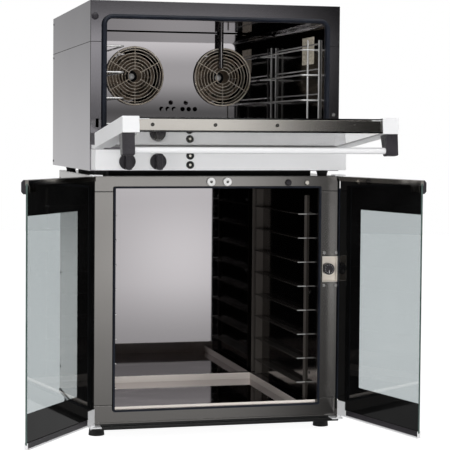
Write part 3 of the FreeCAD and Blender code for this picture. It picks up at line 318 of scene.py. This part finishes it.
def polished_pan():
    """Pan steel: mirror on the level floor, warm satin on the upright rims, whose pale, not metallic colour is
    partly the steel's warm tone and partly painted light.
    """
    finish = Finish("pan_steel")
    level = finish.spread(finish.facing()["Z"], 0.0, 1.0, 0.5, 0.9)
    wipes = finish.noise(14.0, (0.35, 1, 1), 4.0)
    # Painted light: the upright rims get a pale cream, not metallic colour, so that they read as lit.
    finish.to("Base Color", finish.colours(level, (0.95, 0.88, 0.82), (0.72, 0.68, 0.69), 0.1, 0.9))
    finish.to("Metallic", level)
    sheen = math_node(finish.tree, "SUBTRACT", wipes, level)
    finish.to("Roughness", finish.spread(sheen, 0.04, 0.40, -0.5, 0.5))
    finish.bump(wipes, 0.02, 0.004)
    return finish.material


def steel_dark_below(name, upper, lower, height):
    """Brushed steel above a height, near black and not metallic below it."""
    finish = Finish(name)
    place = finish.node("ShaderNodeSeparateXYZ", Vector=finish.place((1, 1, 1)))
    above = finish.spread(place.outputs["Z"], 0.0, 1.0, height - 0.001, height + 0.001)
    lines = finish.noise(2400.0, ALONG_X, 2.0)
    finish.to("Base Color", finish.colours(above, lower, upper, 0.1, 0.9))
    finish.to("Metallic", above)
    finish.to("Roughness", finish.spread(lines, 0.08, 0.12))
    finish.bump(lines, 0.004, 0.0002, 0.003)
    return finish.material


def heat_marked(name, plain, marked, rough, metal=1.0):
    """Metal that has been hot: patches of straw and brown over dull steel."""
    finish = Finish(name, Metallic=metal)
    patches = finish.noise(28.0, detail=5.0)
    finish.to("Base Color", finish.colours(patches, plain, marked, 0.35, 0.72))
    finish.to("Roughness", finish.spread(patches, rough - 0.06, rough + 0.12))
    finish.bump(finish.noise(400.0), 0.06, 0.0004)
    return finish.material


PROOFER_TONES = ((0.36, 0.345, 0.33), (0.40, 0.385, 0.37))
finishes = {
    "shell_steel": brushed("shell_steel", (0.35, 0.335, 0.36), (0.38, 0.365, 0.39), 0.08, ALONG_Z),
    "chamber_steel": mirror_sheet("chamber_steel", (0.20, 0.19, 0.18), (0.57, 0.545, 0.56), 0.03, 0.03),
    "white_steel": brushed("white_steel", (0.87, 0.87, 0.88), (0.91, 0.91, 0.92), 0.40, ALONG_X, 0.1),
    "rail_steel": brushed("rail_steel", (0.60, 0.57, 0.53), (0.68, 0.65, 0.60), 0.10, ALONG_X),
    "wire": brushed("wire", (0.90, 0.90, 0.89), (0.96, 0.95, 0.94), 0.16, ALONG_Z, 0.65, 0.0006),
    "guard_wire": heat_marked("guard_wire", (0.98, 0.90, 0.78), (0.84, 0.70, 0.54), 0.18, 0.55),
    "fan_steel": heat_marked("fan_steel", (0.26, 0.20, 0.15), (0.17, 0.125, 0.09), 0.32, 0.8),
    "motor_paint": painted("motor_paint", (0.12, 0.12, 0.13), (0.17, 0.17, 0.18), 0.45),
    "heater": heat_marked("heater", (0.30, 0.28, 0.26), (0.17, 0.13, 0.11), 0.42),
    "gasket": moulded("gasket", (0.006, 0.008, 0.014), (0.012, 0.015, 0.024), 0.36, 900.0, 0.08),
    "feet": moulded("feet", (0.012, 0.012, 0.012), (0.024, 0.024, 0.024), 0.55),
    "black_plastic": moulded("black_plastic", (0.022, 0.020, 0.024), (0.034, 0.031, 0.036), 0.26),
    "lamp_plastic": moulded("lamp_plastic", (0.008, 0.008, 0.008), (0.014, 0.014, 0.014), 0.14, 600.0, 0.03),
    "lamp_glass": lamp_lens(),
    "lamp_box": painted("lamp_box", (0.55, 0.52, 0.46), (0.62, 0.59, 0.53), 0.4),
    "door_glass": clear_glass("door_glass", (0.82, 0.83, 0.82), 1.5),
    "leaf_glass": clear_glass("leaf_glass", (0.54, 0.585, 0.595), 1.9),
    "proofer_steel": brushed("proofer_steel", *PROOFER_TONES, 0.09, ALONG_Z, 1.0, 0.004, 0.002),
    "pan_steel": polished_pan(),
    "magnet": moulded("magnet", (0.86, 0.85, 0.84), (0.92, 0.91, 0.90), 0.25, 400.0, 0.03),
    "pocket": painted("pocket", (0.80, 0.74, 0.66), (0.88, 0.83, 0.76), 0.35),
    "screws": brushed("screws", (0.66, 0.65, 0.64), (0.80, 0.79, 0.78), 0.2, ALONG_X, 1.0, 0.0004),
}
ledge_steel = brushed("ledge_steel", (0.13, 0.115, 0.105), (0.17, 0.155, 0.14), 0.20, ALONG_Z, 0.5)
# Painted shade: a darkened copy of the screw steel, for the door's screws.
painted_shade_screw = brushed("painted_shade_screw", (0.06, 0.055, 0.05), (0.10, 0.095, 0.09), 0.25, ALONG_X, 0.8, 0.0004)
shadow = moulded("shadow_black", (0.004, 0.004, 0.004), (0.008, 0.008, 0.008), 0.6)
dome_plastic = moulded("dome_plastic", (0.62, 0.58, 0.52), (0.74, 0.70, 0.64), 0.15, 500.0, 0.02)
# Painted highlight: pale steel with a large diffuse share, bright under any light, for the ledge hems and the fan
# nuts.
glint = brushed("glint", (0.86, 0.86, 0.85), (0.93, 0.92, 0.91), 0.18, ALONG_X, 0.4, 0.0004)
lengthwise = brushed("proofer_steel_long", *PROOFER_TONES, 0.09, ALONG_X, 1.0, 0.004)
footed = steel_dark_below("plinth_steel", (0.38, 0.365, 0.35), (0.012, 0.012, 0.012), 0.046)
enamel = printed_glass("printed_border")
glass_edge = moulded("glass_edge", (0.05, 0.08, 0.07), (0.09, 0.13, 0.12), 0.15, 500.0, 0.05)

for name, node in nodes.items():
    node.data.materials.clear()
    node.data.materials.append(finishes[slot_of[name]])
nodes["proofer_lid"].data.materials[0] = lengthwise
nodes["proofer_plinth"].data.materials[0] = footed
# The door's screws take the darkened screw steel, which is painted shade.
nodes["door_screws"].data.materials[0] = painted_shade_screw
for name in ("proofer_rack_left", "proofer_rack_right"):
    nodes[name].data.materials[0] = ledge_steel


# Mesh pieces


def add_piece(name, mesh, body, slot, *materials, place=CABINET_MM):
    """Puts a bmesh built in millimetres in the scene, as a piece that rides on a body."""
    data = bpy.data.meshes.new(name)
    mesh.transform(place)
    bmesh.ops.recalc_face_normals(mesh, faces=mesh.faces)
    mesh.to_mesh(data)
    mesh.free()
    for material in materials or (finishes[slot],):
        data.materials.append(material)
    piece = bpy.data.objects.new(name, data)
    bpy.context.scene.collection.objects.link(piece)
    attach(piece, body)
    return piece


def smooth(piece, angle=40.0):
    """Smooth shading up to an edge angle."""
    piece.data.shade_smooth()
    edges = bmesh.new()
    edges.from_mesh(piece.data)
    for edge in edges.edges:
        edge.smooth = len(edge.link_faces) == 2 and edge.calc_face_angle() < math.radians(angle)
    edges.to_mesh(piece.data)
    edges.free()
    return piece


def sweep(mesh, path, profile):
    """Adds a closed profile swept along a closed path of (place, outward, forward) steps."""
    rings = []
    for place, outward, forward in path:
        rings.append([mesh.verts.new(place + outward * a + forward * b) for a, b in profile])
    count = len(profile)
    for i, ring in enumerate(rings):
        following = rings[(i + 1) % len(rings)]
        for j in range(count):
            k = (j + 1) % count
            mesh.faces.new((ring[j], ring[k], following[k], following[j]))


def prism(mesh, outline, foot, head):
    """Adds an upright prism with an outline in plan, between two heights."""
    ends = [[mesh.verts.new((x, y, z)) for x, y in outline] for z in (foot, head)]
    for i in range(len(outline)):
        k = (i + 1) % len(outline)
        mesh.faces.new((ends[0][i], ends[0][k], ends[1][k], ends[1][i]))
    for end in ends:
        mesh.faces.new(end)


def turned(mesh, profile, place, axis, turns=24):
    """Adds a turned form: profile gives (radius, height along the axis), from foot to top."""
    facing = Vector(axis).to_track_quat("Z", "Y")
    rings = []
    for radius, height in profile:
        steps = range(turns) if radius else range(1)
        spokes = [Vector((math.cos(math.tau * i / turns), math.sin(math.tau * i / turns), 0)) for i in steps]
        rings.append([mesh.verts.new(Vector(place) + facing @ (spoke * radius + Vector((0, 0, height))))
                      for spoke in spokes])
    for lower, upper in zip(rings, rings[1:]):
        for i in range(turns):
            k = (i + 1) % turns
            corners = [lower[n % len(lower)] for n in (i, k)] + [upper[n % len(upper)] for n in (k, i)]
            mesh.faces.new(tuple(dict.fromkeys(corners)))
    for ring in (rings[0], rings[-1]):
        if len(ring) > 2:
            mesh.faces.new(ring)


def slab(mesh, low, high, broken=0.3):
    """Adds a block between two corners, with its edges broken."""
    corners = bmesh.ops.create_cube(mesh, size=1.0)["verts"]
    for corner in corners:
        corner.co = [a + (b - a) * (c + 0.5) for a, b, c in zip(low, high, corner.co)]
    edges = list({edge for corner in corners for edge in corner.link_edges})
    bmesh.ops.bevel(mesh, geom=edges, offset=broken, segments=1, affect="EDGES")


def mouth_path(half_width, low, high, radius, depth, steps=10):
    """Rounded rectangle in the plane of the oven's front, as places with outward directions."""
    path = []
    forward = Vector(TOWARDS_FRONT)
    corners = (
        (half_width - radius, high - radius, 0),
        (radius - half_width, high - radius, 90),
        (radius - half_width, low + radius, 180),
        (half_width - radius, low + radius, 270),
    )
    for x, z, start in corners:
        for i in range(steps + 1):
            turn = math.radians(start + 90 * i / steps)
            outward = Vector((math.cos(turn), 0, math.sin(turn)))
            path.append((Vector((x, depth, z)) + outward * radius, outward, forward))
    return path


def hoop_path(place, steps=48):
    """Points of a round hoop that faces the front, all at its middle, with their outward directions."""
    path = []
    for i in range(steps):
        turn = math.tau * i / steps
        path.append((Vector(place), Vector((math.cos(turn), 0, math.sin(turn))), Vector(TOWARDS_FRONT)))
    return path


def oven_gasket():
    """Silicone bulb round the oven's mouth, with its flat foot on the frame."""
    foot = [(0.6, 0.0), (14.4, 0.0), (14.4, 4.0)]
    bulb = []
    for i in range(13):
        turn = math.radians(-10 + 200 * i / 12)
        bulb.append((7.5 + 6.7 * math.cos(turn), 10.6 + 7.2 * math.sin(turn)))
    mesh = bmesh.new()
    sweep(mesh, mouth_path(*MOUTH, OVEN_FRONT), foot + bulb + [(0.6, 4.0)])
    piece = add_piece("gasket_bulb", mesh, "cabinet", "gasket")
    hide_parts("oven_gasket")
    smooth(piece, 50)


def leaf_frame(side):
    """Matrix from a closed leaf's own millimetres (out from the hinge, inward, up) to its open place."""
    joint = joints["left_door_swing" if side < 0 else "right_door_swing"]
    swing = joint["range_deg"][1] if side < 0 else joint["range_deg"][0]
    hinge = Vector((joint["pos_m"][0], joint["pos_m"][1], 0))
    turn = Matrix.Rotation(math.radians(-swing), 4, "Z")
    axes = Matrix.Diagonal((-side * MM, MM, MM, 1))
    return Matrix.Translation(hinge) @ turn @ axes


def leaf_pane(side, body):
    """Glass leaf in one pane: clear window, printed border on three sides, pale green rim."""
    glass_low, glass_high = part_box(body + "_glass")
    bottom, top = glass_low.z / MM, glass_high.z / MM
    outs = (LEAF_OUT[0], BORDER_HINGE, LEAF_OUT[1])
    ups = (bottom, bottom + BORDER_BOTTOM, top - BORDER_TOP, top)
    window, border, rim = range(3)
    mesh = bmesh.new()
    grid = {}
    for i, out in enumerate(outs):
        for j, inward in enumerate(LEAF_FACES):
            for k, up in enumerate(ups):
                grid[i, j, k] = mesh.verts.new((out, inward, up))

    def add_face(material, *corners):
        mesh.faces.new([grid[corner] for corner in corners]).material_index = material

    for j in (0, 1):
        for i in (0, 1):
            for k in (0, 1, 2):
                pane = window if (i, k) == (1, 1) else border
                add_face(pane, (i, j, k), (i + 1, j, k), (i + 1, j, k + 1), (i, j, k + 1))
    for i in (0, 1):
        for k in (0, 3):
            add_face(rim, (i, 0, k), (i + 1, 0, k), (i + 1, 1, k), (i, 1, k))
    for i in (0, 2):
        for k in (0, 1, 2):
            add_face(rim, (i, 0, k), (i, 0, k + 1), (i, 1, k + 1), (i, 1, k))
    panes = (finishes["leaf_glass"], enamel, glass_edge)
    piece = add_piece(body + "_pane", mesh, body, "leaf_glass", *panes, place=leaf_frame(side))
    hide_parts(body + "_glass")


def strip_cover(side, body):
    """Black trim over the inner face of a leaf's bottom strip."""
    mesh = bmesh.new()
    slab(mesh, *STRIP_COVER, 0.2)
    add_piece(body + "_strip_cover", mesh, body, "black_plastic", place=leaf_frame(side))


def post_lips():
    """Rubber lips along the outer edges of the two posts, which close the slot beside an open leaf."""
    for side, name in ((-1, "left"), (1, "right")):
        low, high = box_mm("proofer_side_" + name)
        edge = (low if side < 0 else high).x
        middle = edge - side * LIP_WIDTH / 2
        nose = low.y - LIP_REACH + LIP_WIDTH / 2
        outline = [(edge, low.y), (edge - side * LIP_WIDTH, low.y)]
        for i in range(LIP_STEPS + 1):
            turn = math.pi * i / LIP_STEPS
            x = middle - side * math.cos(turn) * LIP_WIDTH / 2
            outline.append((x, nose - math.sin(turn) * LIP_WIDTH / 2))
        foot = box_mm(name + "_door_strip")[1].z + LIP_CLEAR
        head = box_mm(name + "_door_band")[0].z - LIP_CLEAR
        mesh = bmesh.new()
        prism(mesh, outline, foot, head)
        smooth(add_piece(name + "_post_lip", mesh, "cabinet", "gasket"))


SCREW_HEAD = ((4.2, 0.0), (4.2, 1.0), (3.2, 1.9), (1.4, 2.1), (1.0, 1.2), (0.0, 1.2))


def screw_heads(name, places, axis):
    """Row of pan-head screws on one flat face."""
    mesh = bmesh.new()
    for place in places:
        turned(mesh, SCREW_HEAD, place, axis, 16)
    smooth(add_piece(name, mesh, "cabinet", "screws"))


def sheet_screws():
    """Screws of the outer sheets and of the proofing chamber's right wall."""
    oven_row = box_mm("oven_back")[1].y - 12
    cabinet_row = box_mm("proofer_back")[1].y - 14
    chamber_row = 82
    for side, name in ((-1, "left"), (1, "right")):
        outer = 0 if side < 0 else 1
        wall = box_mm("oven_side_" + name)[outer].x
        screw_heads(f"oven_{name}_screws", [(wall, oven_row, z) for z in OVEN_SCREWS], (side, 0, 0))
        wall = box_mm("proofer_side_" + name)[outer].x
        screw_heads(f"proofer_{name}_screws", [(wall, cabinet_row, z) for z in CABINET_SCREWS], (side, 0, 0))
    wall = box_mm("proofer_liner")[1].x - 2.0
    screw_heads("chamber_screws", [(wall, chamber_row, z) for z in CHAMBER_SCREWS], (-1, 0, 0))


def both_sides(span):
    """A span to the right of the middle, and before it its mirror image to the left."""
    return (-span[1], -span[0]), span


def dark_seams():
    """Shadow lines where the oven's hood meets its sides and the proofer's posts meet its rails, and a painted
    shadow line down the oven's front-left corner.
    """
    proud, half, broken = 0.25, 0.9, 0.1
    mesh = bmesh.new()
    low, high = box_mm("oven_side_left")[0], box_mm("oven_side_right")[1]
    seam = box_mm("oven_side_left")[1].z
    for edge in (low.x, high.x):
        slab(mesh, (edge - proud, low.y, seam - half), (edge + proud, high.y, seam + half), broken)
    for outer, inner in ((low.x, -MOUTH_FRAME), (MOUTH_FRAME, high.x)):
        slab(mesh, (outer, low.y - proud, seam - half), (inner, low.y + proud, seam + half), broken)
    # Painted shadow line down the oven's front-left corner.
    foot, head = low.z + 66, box_mm("oven_hood")[1].z - 2
    slab(mesh, (low.x - proud, low.y - proud, foot), (low.x + 1.2, low.y + proud, head), broken)
    for height in POST_SEAMS:
        for near, far in both_sides(POST_SPAN):
            slab(mesh, (near, -0.2, height - 0.7), (far, 0.2, height + 0.7), broken)
    add_piece("sheet_seams", mesh, "cabinet", "gasket", shadow)


def hood_cap():
    """Black plug in the hood's front, left of the mouth."""
    plug = ((11.0, 0.0), (11.0, 1.6), (9.4, 2.8), (5.0, 3.4), (0.0, 3.6))
    mesh = bmesh.new()
    turned(mesh, plug, HOOD_CAP, TOWARDS_FRONT, 32)
    smooth(add_piece("hood_cap", mesh, "cabinet", "black_plastic"))


def gap_shade_strip():
    """Painted shadow: a black strip between the oven's base and the proofer's lid, behind the oven's feet, where
    the gap lies in shade.
    """
    half, front, rear, thick = 330, 96, 668, 8
    lid, base = box_mm("proofer_lid")[1].z, box_mm("oven_base")[0].z - 0.1
    mesh = bmesh.new()
    for near in (front, rear - thick):
        slab(mesh, (-half, near, lid), (half, near + thick, base))
    for edge in (-half, half - thick):
        slab(mesh, (edge, front + thick, lid), (edge + thick, rear - thick, base))
    add_piece("gap_shade_strip", mesh, "cabinet", "gasket", shadow)


def lamp_domes():
    """Lenses of the signal lamps: two on the oven's panel, one on the proofer's head rail."""
    dome = ((1.0, 0.0), (1.0, 0.13), (0.8, 0.32), (0.4, 0.47), (0.0, 0.52))
    panel = box_mm("control_panel")[0].y - 4.0
    lamps = [(4.0, (PANEL_LAMP_X, panel, height)) for height in PANEL_LAMP_HEIGHTS] + [(6.4, RAIL_LAMP)]
    mesh = bmesh.new()
    for radius, place in lamps:
        turned(mesh, [(radius * out, radius * rise) for out, rise in dome], place, TOWARDS_FRONT)
    smooth(add_piece("lamp_domes", mesh, "cabinet", "lamp_plastic", dome_plastic))


def magnet_screws():
    """Flat screw in the middle of each door magnet."""
    head = ((4.5, 0.0), (4.5, 0.4), (3.6, 0.9), (0.0, 1.0))
    front = box_mm("door_magnets")[0].y
    spread, height = MAGNETS
    mesh = bmesh.new()
    for x in (-spread, spread):
        turned(mesh, head, (x, front, height), TOWARDS_FRONT, 20)
    smooth(add_piece("magnet_screws", mesh, "cabinet", "screws"))


def dial_marks():
    """Ring of pale ticks and a pointer on the proofer's dial."""
    tick = ((0.9, -0.2), (0.9, 0.3), (0.0, 0.4))
    front = box_mm("dial_knob")[0].y
    x, z = DIAL
    mesh = bmesh.new()
    for i in range(DIAL_TICKS):
        turn = math.radians(-60 + 30 * i)
        place = Vector((x + DIAL_RING * math.cos(turn), front, z + DIAL_RING * math.sin(turn)))
        turned(mesh, tick, place, TOWARDS_FRONT, 10)
    slab(mesh, (x - 0.8, front - 0.5, z - 13.5), (x + 0.8, front + 0.2, z - 3.5), 0.2)
    add_piece("dial_marks", mesh, "dial", "white_steel")


def ribbed_lens():
    """Pressed glass of the oven's lamp: upright ribs in front, flat behind."""
    low, high = box_mm("lamp_lens")
    outline = []
    for i in range(int(high.y - low.y) + 1):
        rib = 0.5 - 0.5 * math.cos(math.tau * i / RIB_PITCH)
        outline.append((low.x + 0.2 - RIB_DEPTH * rib, low.y + i))
    outline += [(high.x, high.y), (high.x, low.y)]
    mesh = bmesh.new()
    prism(mesh, outline, low.z, high.z)
    piece = add_piece("lamp_ribs", mesh, "cabinet", "lamp_glass")
    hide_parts("lamp_lens")
    smooth(piece)


def lamp_guard():
    """Upright wire that keeps trays off the lamp, across the front of the right rack's rails."""
    low, high = box_mm("oven_rack_right")
    tall = high.z - low.z
    wire = ((2.0, 0.0), (3.0, 1.0), (3.0, tall - 1), (2.0, tall))
    side, front = LAMP_GUARD_INSET
    mesh = bmesh.new()
    turned(mesh, wire, (high.x - side, low.y + front, low.z), (0, 0, 1), 16)
    smooth(add_piece("lamp_guard", mesh, "cabinet", "wire"))


def ledge_noses():
    """Rolled front hems of the proofer's tray ledges."""
    hem = ((1.0, 0.0), (1.7, 0.7), (1.7, 28.3), (1.0, 29.0))
    wall, front, height = LEDGE_FOOT
    mesh = bmesh.new()
    for side in (-1, 1):
        for i in range(LEDGES):
            turned(mesh, hem, (side * wall, front, height + LEDGE_PITCH * i), (-side, 0, 0), 12)
    smooth(add_piece("ledge_noses", mesh, "cabinet", "wire", glint))


def fan_hub(body, x):
    """Hub nut of a fan wheel on its dark washer."""
    disc = ((21.0, -1.0), (21.0, 0.8), (19.5, 1.4), (0.0, 1.5))
    cap = ((11.0, 1.0), (11.0, 5.0), (8.0, 8.5), (3.0, 10.0), (0.0, 10.2))
    place = (x, box_mm("fan_" + body.split("_")[0])[0].y, FAN_HEIGHT)
    washer, nut = bmesh.new(), bmesh.new()
    turned(washer, disc, place, TOWARDS_FRONT, 32)
    turned(nut, cap, place, TOWARDS_FRONT)
    smooth(add_piece(body + "_washer", washer, body, "fan_steel", shadow))
    smooth(add_piece(body + "_nut", nut, body, "fan_steel", glint))


def hole_shade_cups():
    """Black cups behind the eight air holes of the baffle: painted shade that keeps the holes dark."""
    cup = ((9.6, 0.0), (9.6, 6.0), (8.6, 6.0), (8.6, 1.0), (0.0, 1.0))
    seat = box_mm("air_baffle")[1].y + 6.2
    middle, pitch, row = HOLE_ROW
    mesh = bmesh.new()
    for side in (-1, 1):
        places = [(side * middle + step * pitch, row) for step in (-1, 0, 1)]
        places.append((side * HOLE_ABOVE[0], HOLE_ABOVE[1]))
        for x, z in places:
            turned(mesh, cup, (x, seat, z), TOWARDS_FRONT)
    add_piece("hole_shade_cups", mesh, "cabinet", "chamber_steel", shadow)


def guard_rims():
    """Bright outer hoop of each fan guard."""
    turns = [math.tau * i / 10 for i in range(10)]
    wire = [(GUARD_RADIUS + GUARD_WIRE * math.cos(turn), GUARD_WIRE * math.sin(turn)) for turn in turns]
    front = box_mm("fan_guards")[0].y + 2.8
    mesh = bmesh.new()
    for x in (-FAN_SPREAD, FAN_SPREAD):
        sweep(mesh, hoop_path((x, front, FAN_HEIGHT)), wire)
    smooth(add_piece("guard_rims", mesh, "cabinet", "guard_wire"), 60)


def door_tabs():
    """White clips on the free rail of the oven's door."""
    top = box_mm("door_rails")[1].z
    front, rear = TAB_DEPTH
    mesh = bmesh.new()
    for near, far in both_sides(TAB_SPAN):
        slab(mesh, (near, front, top - 1.0), (far, rear, top + 0.9), 0.4)
    add_piece("door_tabs", mesh, "oven_door", "white_steel")


oven_gasket()
for side, body in ((-1, "left_door"), (1, "right_door")):
    leaf_pane(side, body)
    strip_cover(side, body)
sheet_screws()
dark_seams()
hood_cap()
gap_shade_strip()
lamp_domes()
magnet_screws()
dial_marks()
ribbed_lens()
lamp_guard()
ledge_noses()
fan_hub("left_fan", -FAN_SPREAD)
fan_hub("right_fan", FAN_SPREAD)
post_lips()
hole_shade_cups()
guard_rims()
door_tabs()


# Studio


def slope(tree, value, start, stop, low, high):
    """Soft step from low to high as the value goes from start to stop."""
    made = tree.nodes.new("ShaderNodeMapRange")
    made.interpolation_type = "SMOOTHSTEP"
    tree.links.new(value, made.inputs["Value"])
    for key, number in (("From Min", start), ("From Max", stop), ("To Min", low), ("To Max", high)):
        made.inputs[key].default_value = number
    return made.outputs["Result"]


def within(tree, value, edges):
    """One between two soft edges, nought outside them."""
    (start, full), (end, none) = edges
    return math_node(tree, "MULTIPLY", slope(tree, value, start, full, 0.0, 1.0),
                     slope(tree, value, end, none, 1.0, 0.0))


def panel_tone(tree, rise):
    """Tone of the tall panel at a slope above or below the horizon."""
    first, last = PANEL_TONES[0][0], PANEL_TONES[-1][0]
    made = tree.nodes.new("ShaderNodeValToRGB")
    ramp = made.color_ramp
    while len(ramp.elements) < len(PANEL_TONES):
        ramp.elements.new(0.5)
    for element, (slant, tone) in zip(ramp.elements, PANEL_TONES):
        element.position = (slant - first) / (last - first)
        element.color = (tone, tone, tone, 1.0)
    ranged = math_node(tree, "DIVIDE", math_node(tree, "SUBTRACT", rise, first), last - first)
    tree.links.new(ranged, made.inputs["Fac"])
    return made.outputs["Color"]


def panel_spot(tree, across, rise):
    """Brighter round spot on the panel."""
    x, y, wide, tall, gain = PANEL_SPOT
    out = 0.0
    for value, middle, size in ((across, x, wide), (rise, y, tall)):
        away = math_node(tree, "DIVIDE", math_node(tree, "SUBTRACT", value, middle), size)
        out = math_node(tree, "ADD", math_node(tree, "MULTIPLY", away, away), out)
    fall = math_node(tree, "EXPONENT", math_node(tree, "MULTIPLY", out, -0.5), 0.0)
    return math_node(tree, "MULTIPLY", fall, gain)


def top_card(tree, across, rise):
    """Bright card high above the camera, for glints on wires, screws and knobs."""
    tall = within(tree, rise, TOP_CARD_RISE)
    wide = within(tree, across, TOP_CARD_ACROSS)
    return math_node(tree, "MULTIPLY", math_node(tree, "MULTIPLY", tall, wide), TOP_CARD)


def studio_reflection(tree):
    """What polished metal sees: a pale wall behind, and in front a dark studio with its panels."""
    axes = tree.nodes.new("ShaderNodeSeparateXYZ")
    tree.links.new(tree.nodes.new("ShaderNodeTexCoord").outputs["Generated"], axes.inputs[0])
    x, y, z = axes.outputs
    ahead = math_node(tree, "MAXIMUM", math_node(tree, "MULTIPLY", y, -1.0), 0.05)
    across = math_node(tree, "DIVIDE", x, ahead)
    rise = math_node(tree, "DIVIDE", z, ahead)
    band = within(tree, across, PANEL_EDGES)
    tone = math_node(tree, "ADD", panel_tone(tree, rise), panel_spot(tree, across, rise))
    wings = slope(tree, math_node(tree, "ABSOLUTE", across, 0.0), *WINGS)
    front = math_node(tree, "ADD", math_node(tree, "MULTIPLY", band, tone), wings)
    front = math_node(tree, "ADD", front, top_card(tree, across, rise))
    behind = slope(tree, y, -0.15, 0.25, 0.0, 1.0)
    side = math_node(tree, "MULTIPLY", slope(tree, x, -0.60, -0.25, 0.2, 1.0),
                     slope(tree, x, 0.45, 0.85, 1.0, 0.4))
    fade = math_node(tree, "ADD", slope(tree, z, -0.06, 0.12, 0.74, 0.34),
                     slope(tree, z, -0.11, -0.04, 0.45, 0.0))
    wall = math_node(tree, "MULTIPLY", behind, math_node(tree, "MULTIPLY", side, fade))
    above = slope(tree, z, 0.45, 0.80, 0.0, 0.8)
    lit = math_node(tree, "ADD", wall,
                    math_node(tree, "MULTIPLY", front, math_node(tree, "SUBTRACT", 1.0, behind)))
    return math_node(tree, "MAXIMUM", lit, above)


def direct_sight(tree):
    """One for what the camera sees itself or through glass, nought for what metal mirrors."""
    rays = tree.nodes.new("ShaderNodeLightPath").outputs
    direct = math_node(tree, "LESS_THAN", rays["Glossy Depth"], 0.5)
    through = math_node(tree, "MULTIPLY", rays["Is Transmission Ray"], direct)
    return rays, math_node(tree, "MAXIMUM", rays["Is Camera Ray"], through)


def studio_world():
    """World that is white to the eye, soft light to dull surfaces and a studio to polished ones."""
    world = bpy.data.worlds.new("studio")
    bpy.context.scene.world = world
    world.use_nodes = True
    tree = world.node_tree
    rays, seen = direct_sight(tree)
    axes = tree.nodes.new("ShaderNodeSeparateXYZ")
    tree.links.new(tree.nodes.new("ShaderNodeTexCoord").outputs["Generated"], axes.inputs[0])
    soft = slope(tree, axes.outputs[0], -0.9, 0.0, WORLD_LEFT, WORLD_FRONT)
    plain = math_node(tree, "MULTIPLY", rays["Is Diffuse Ray"], soft)
    mirrored = math_node(tree, "SUBTRACT", 1.0, math_node(tree, "MAXIMUM", seen, rays["Is Diffuse Ray"]))
    once = slope(tree, rays["Glossy Depth"], 1.0, 2.0, 1.0, TWICE_MIRRORED)
    shine = math_node(tree, "MULTIPLY", math_node(tree, "MULTIPLY", mirrored, once), studio_reflection(tree))
    strength = math_node(tree, "ADD", seen, math_node(tree, "ADD", shine, plain))
    background = tree.nodes["Background"]
    background.inputs["Color"].default_value = (1, 1, 1, 1)
    tree.links.new(strength, background.inputs["Strength"])


def studio_floor():
    """Pale floor that keeps the shadow; the glow for camera and glass rays makes it white."""
    mesh = bmesh.new()
    bmesh.ops.create_circle(mesh, cap_ends=True, radius=9.0, segments=96)
    data = bpy.data.meshes.new("floor")
    mesh.to_mesh(data)
    mesh.free()
    floor = bpy.data.objects.new("floor", data)
    bpy.context.scene.collection.objects.link(floor)
    floor.location = (0, 0, -0.0005)
    floor.visible_glossy = False
    finish = Finish("floor", Base_Color=(FLOOR_TONE,) * 3, Emission_Color=(1.0, 1.0, 1.0))
    finish.shader.inputs["Specular IOR Level"].default_value = 0.0
    seen = direct_sight(finish.tree)[1]
    finish.to("Emission Strength", math_node(finish.tree, "MULTIPLY", seen, FLOOR_GLOW))
    finish.to("Roughness", finish.spread(finish.noise(40.0), 0.85, 0.95))
    data.materials.append(finish.material)


def soft_lamp(name, place, aim, size, watts):
    """Square lamp for colours; the studio world makes the gloss."""
    data = bpy.data.lights.new(name, "AREA")
    data.size = size
    data.energy = watts
    lamp = bpy.data.objects.new(name, data)
    bpy.context.scene.collection.objects.link(lamp)
    lamp.location = place
    lamp.rotation_euler = (aim - place).to_track_quat("-Z", "Y").to_euler()
    lamp.visible_glossy = False
    lamp.visible_transmission = False


def photo_camera():
    """Camera at the photograph's viewing angle."""
    forward = Vector((math.sin(CAMERA_YAW) * math.cos(CAMERA_PITCH),
                      math.cos(CAMERA_YAW) * math.cos(CAMERA_PITCH), math.sin(CAMERA_PITCH)))
    level = Vector((math.cos(CAMERA_YAW), -math.sin(CAMERA_YAW), 0))
    down = forward.cross(level)
    right = level * math.cos(CAMERA_ROLL) + down * math.sin(CAMERA_ROLL)
    up = level * math.sin(CAMERA_ROLL) - down * math.cos(CAMERA_ROLL)
    data = bpy.data.cameras.new("camera")
    data.lens = CAMERA_LENS
    data.shift_x, data.shift_y = CAMERA_SHIFT
    data.clip_end = 60.0
    camera = bpy.data.objects.new("camera", data)
    bpy.context.scene.collection.objects.link(camera)
    turn = Matrix((right, up, -forward)).transposed().to_4x4()
    camera.matrix_world = Matrix.Translation(CAMERA_PLACE) @ turn
    bpy.context.scene.camera = camera


studio_world()
studio_floor()
middle = Vector((0, 0, 0.75))
soft_lamp("key", Vector((-0.8, -4.7, 0.45)), middle, 1.0, KEY_WATTS)
soft_lamp("side", Vector((-4.2, -2.2, 0.9)), middle, 1.4, SIDE_WATTS)
soft_lamp("fill", Vector((2.2, -4.6, 0.55)), middle, 1.0, FILL_WATTS)
soft_lamp("top", Vector((0, -1.0, 4.5)), middle, 3.0, TOP_WATTS)
photo_camera()
bpy.context.scene.view_settings.view_transform = "Standard"
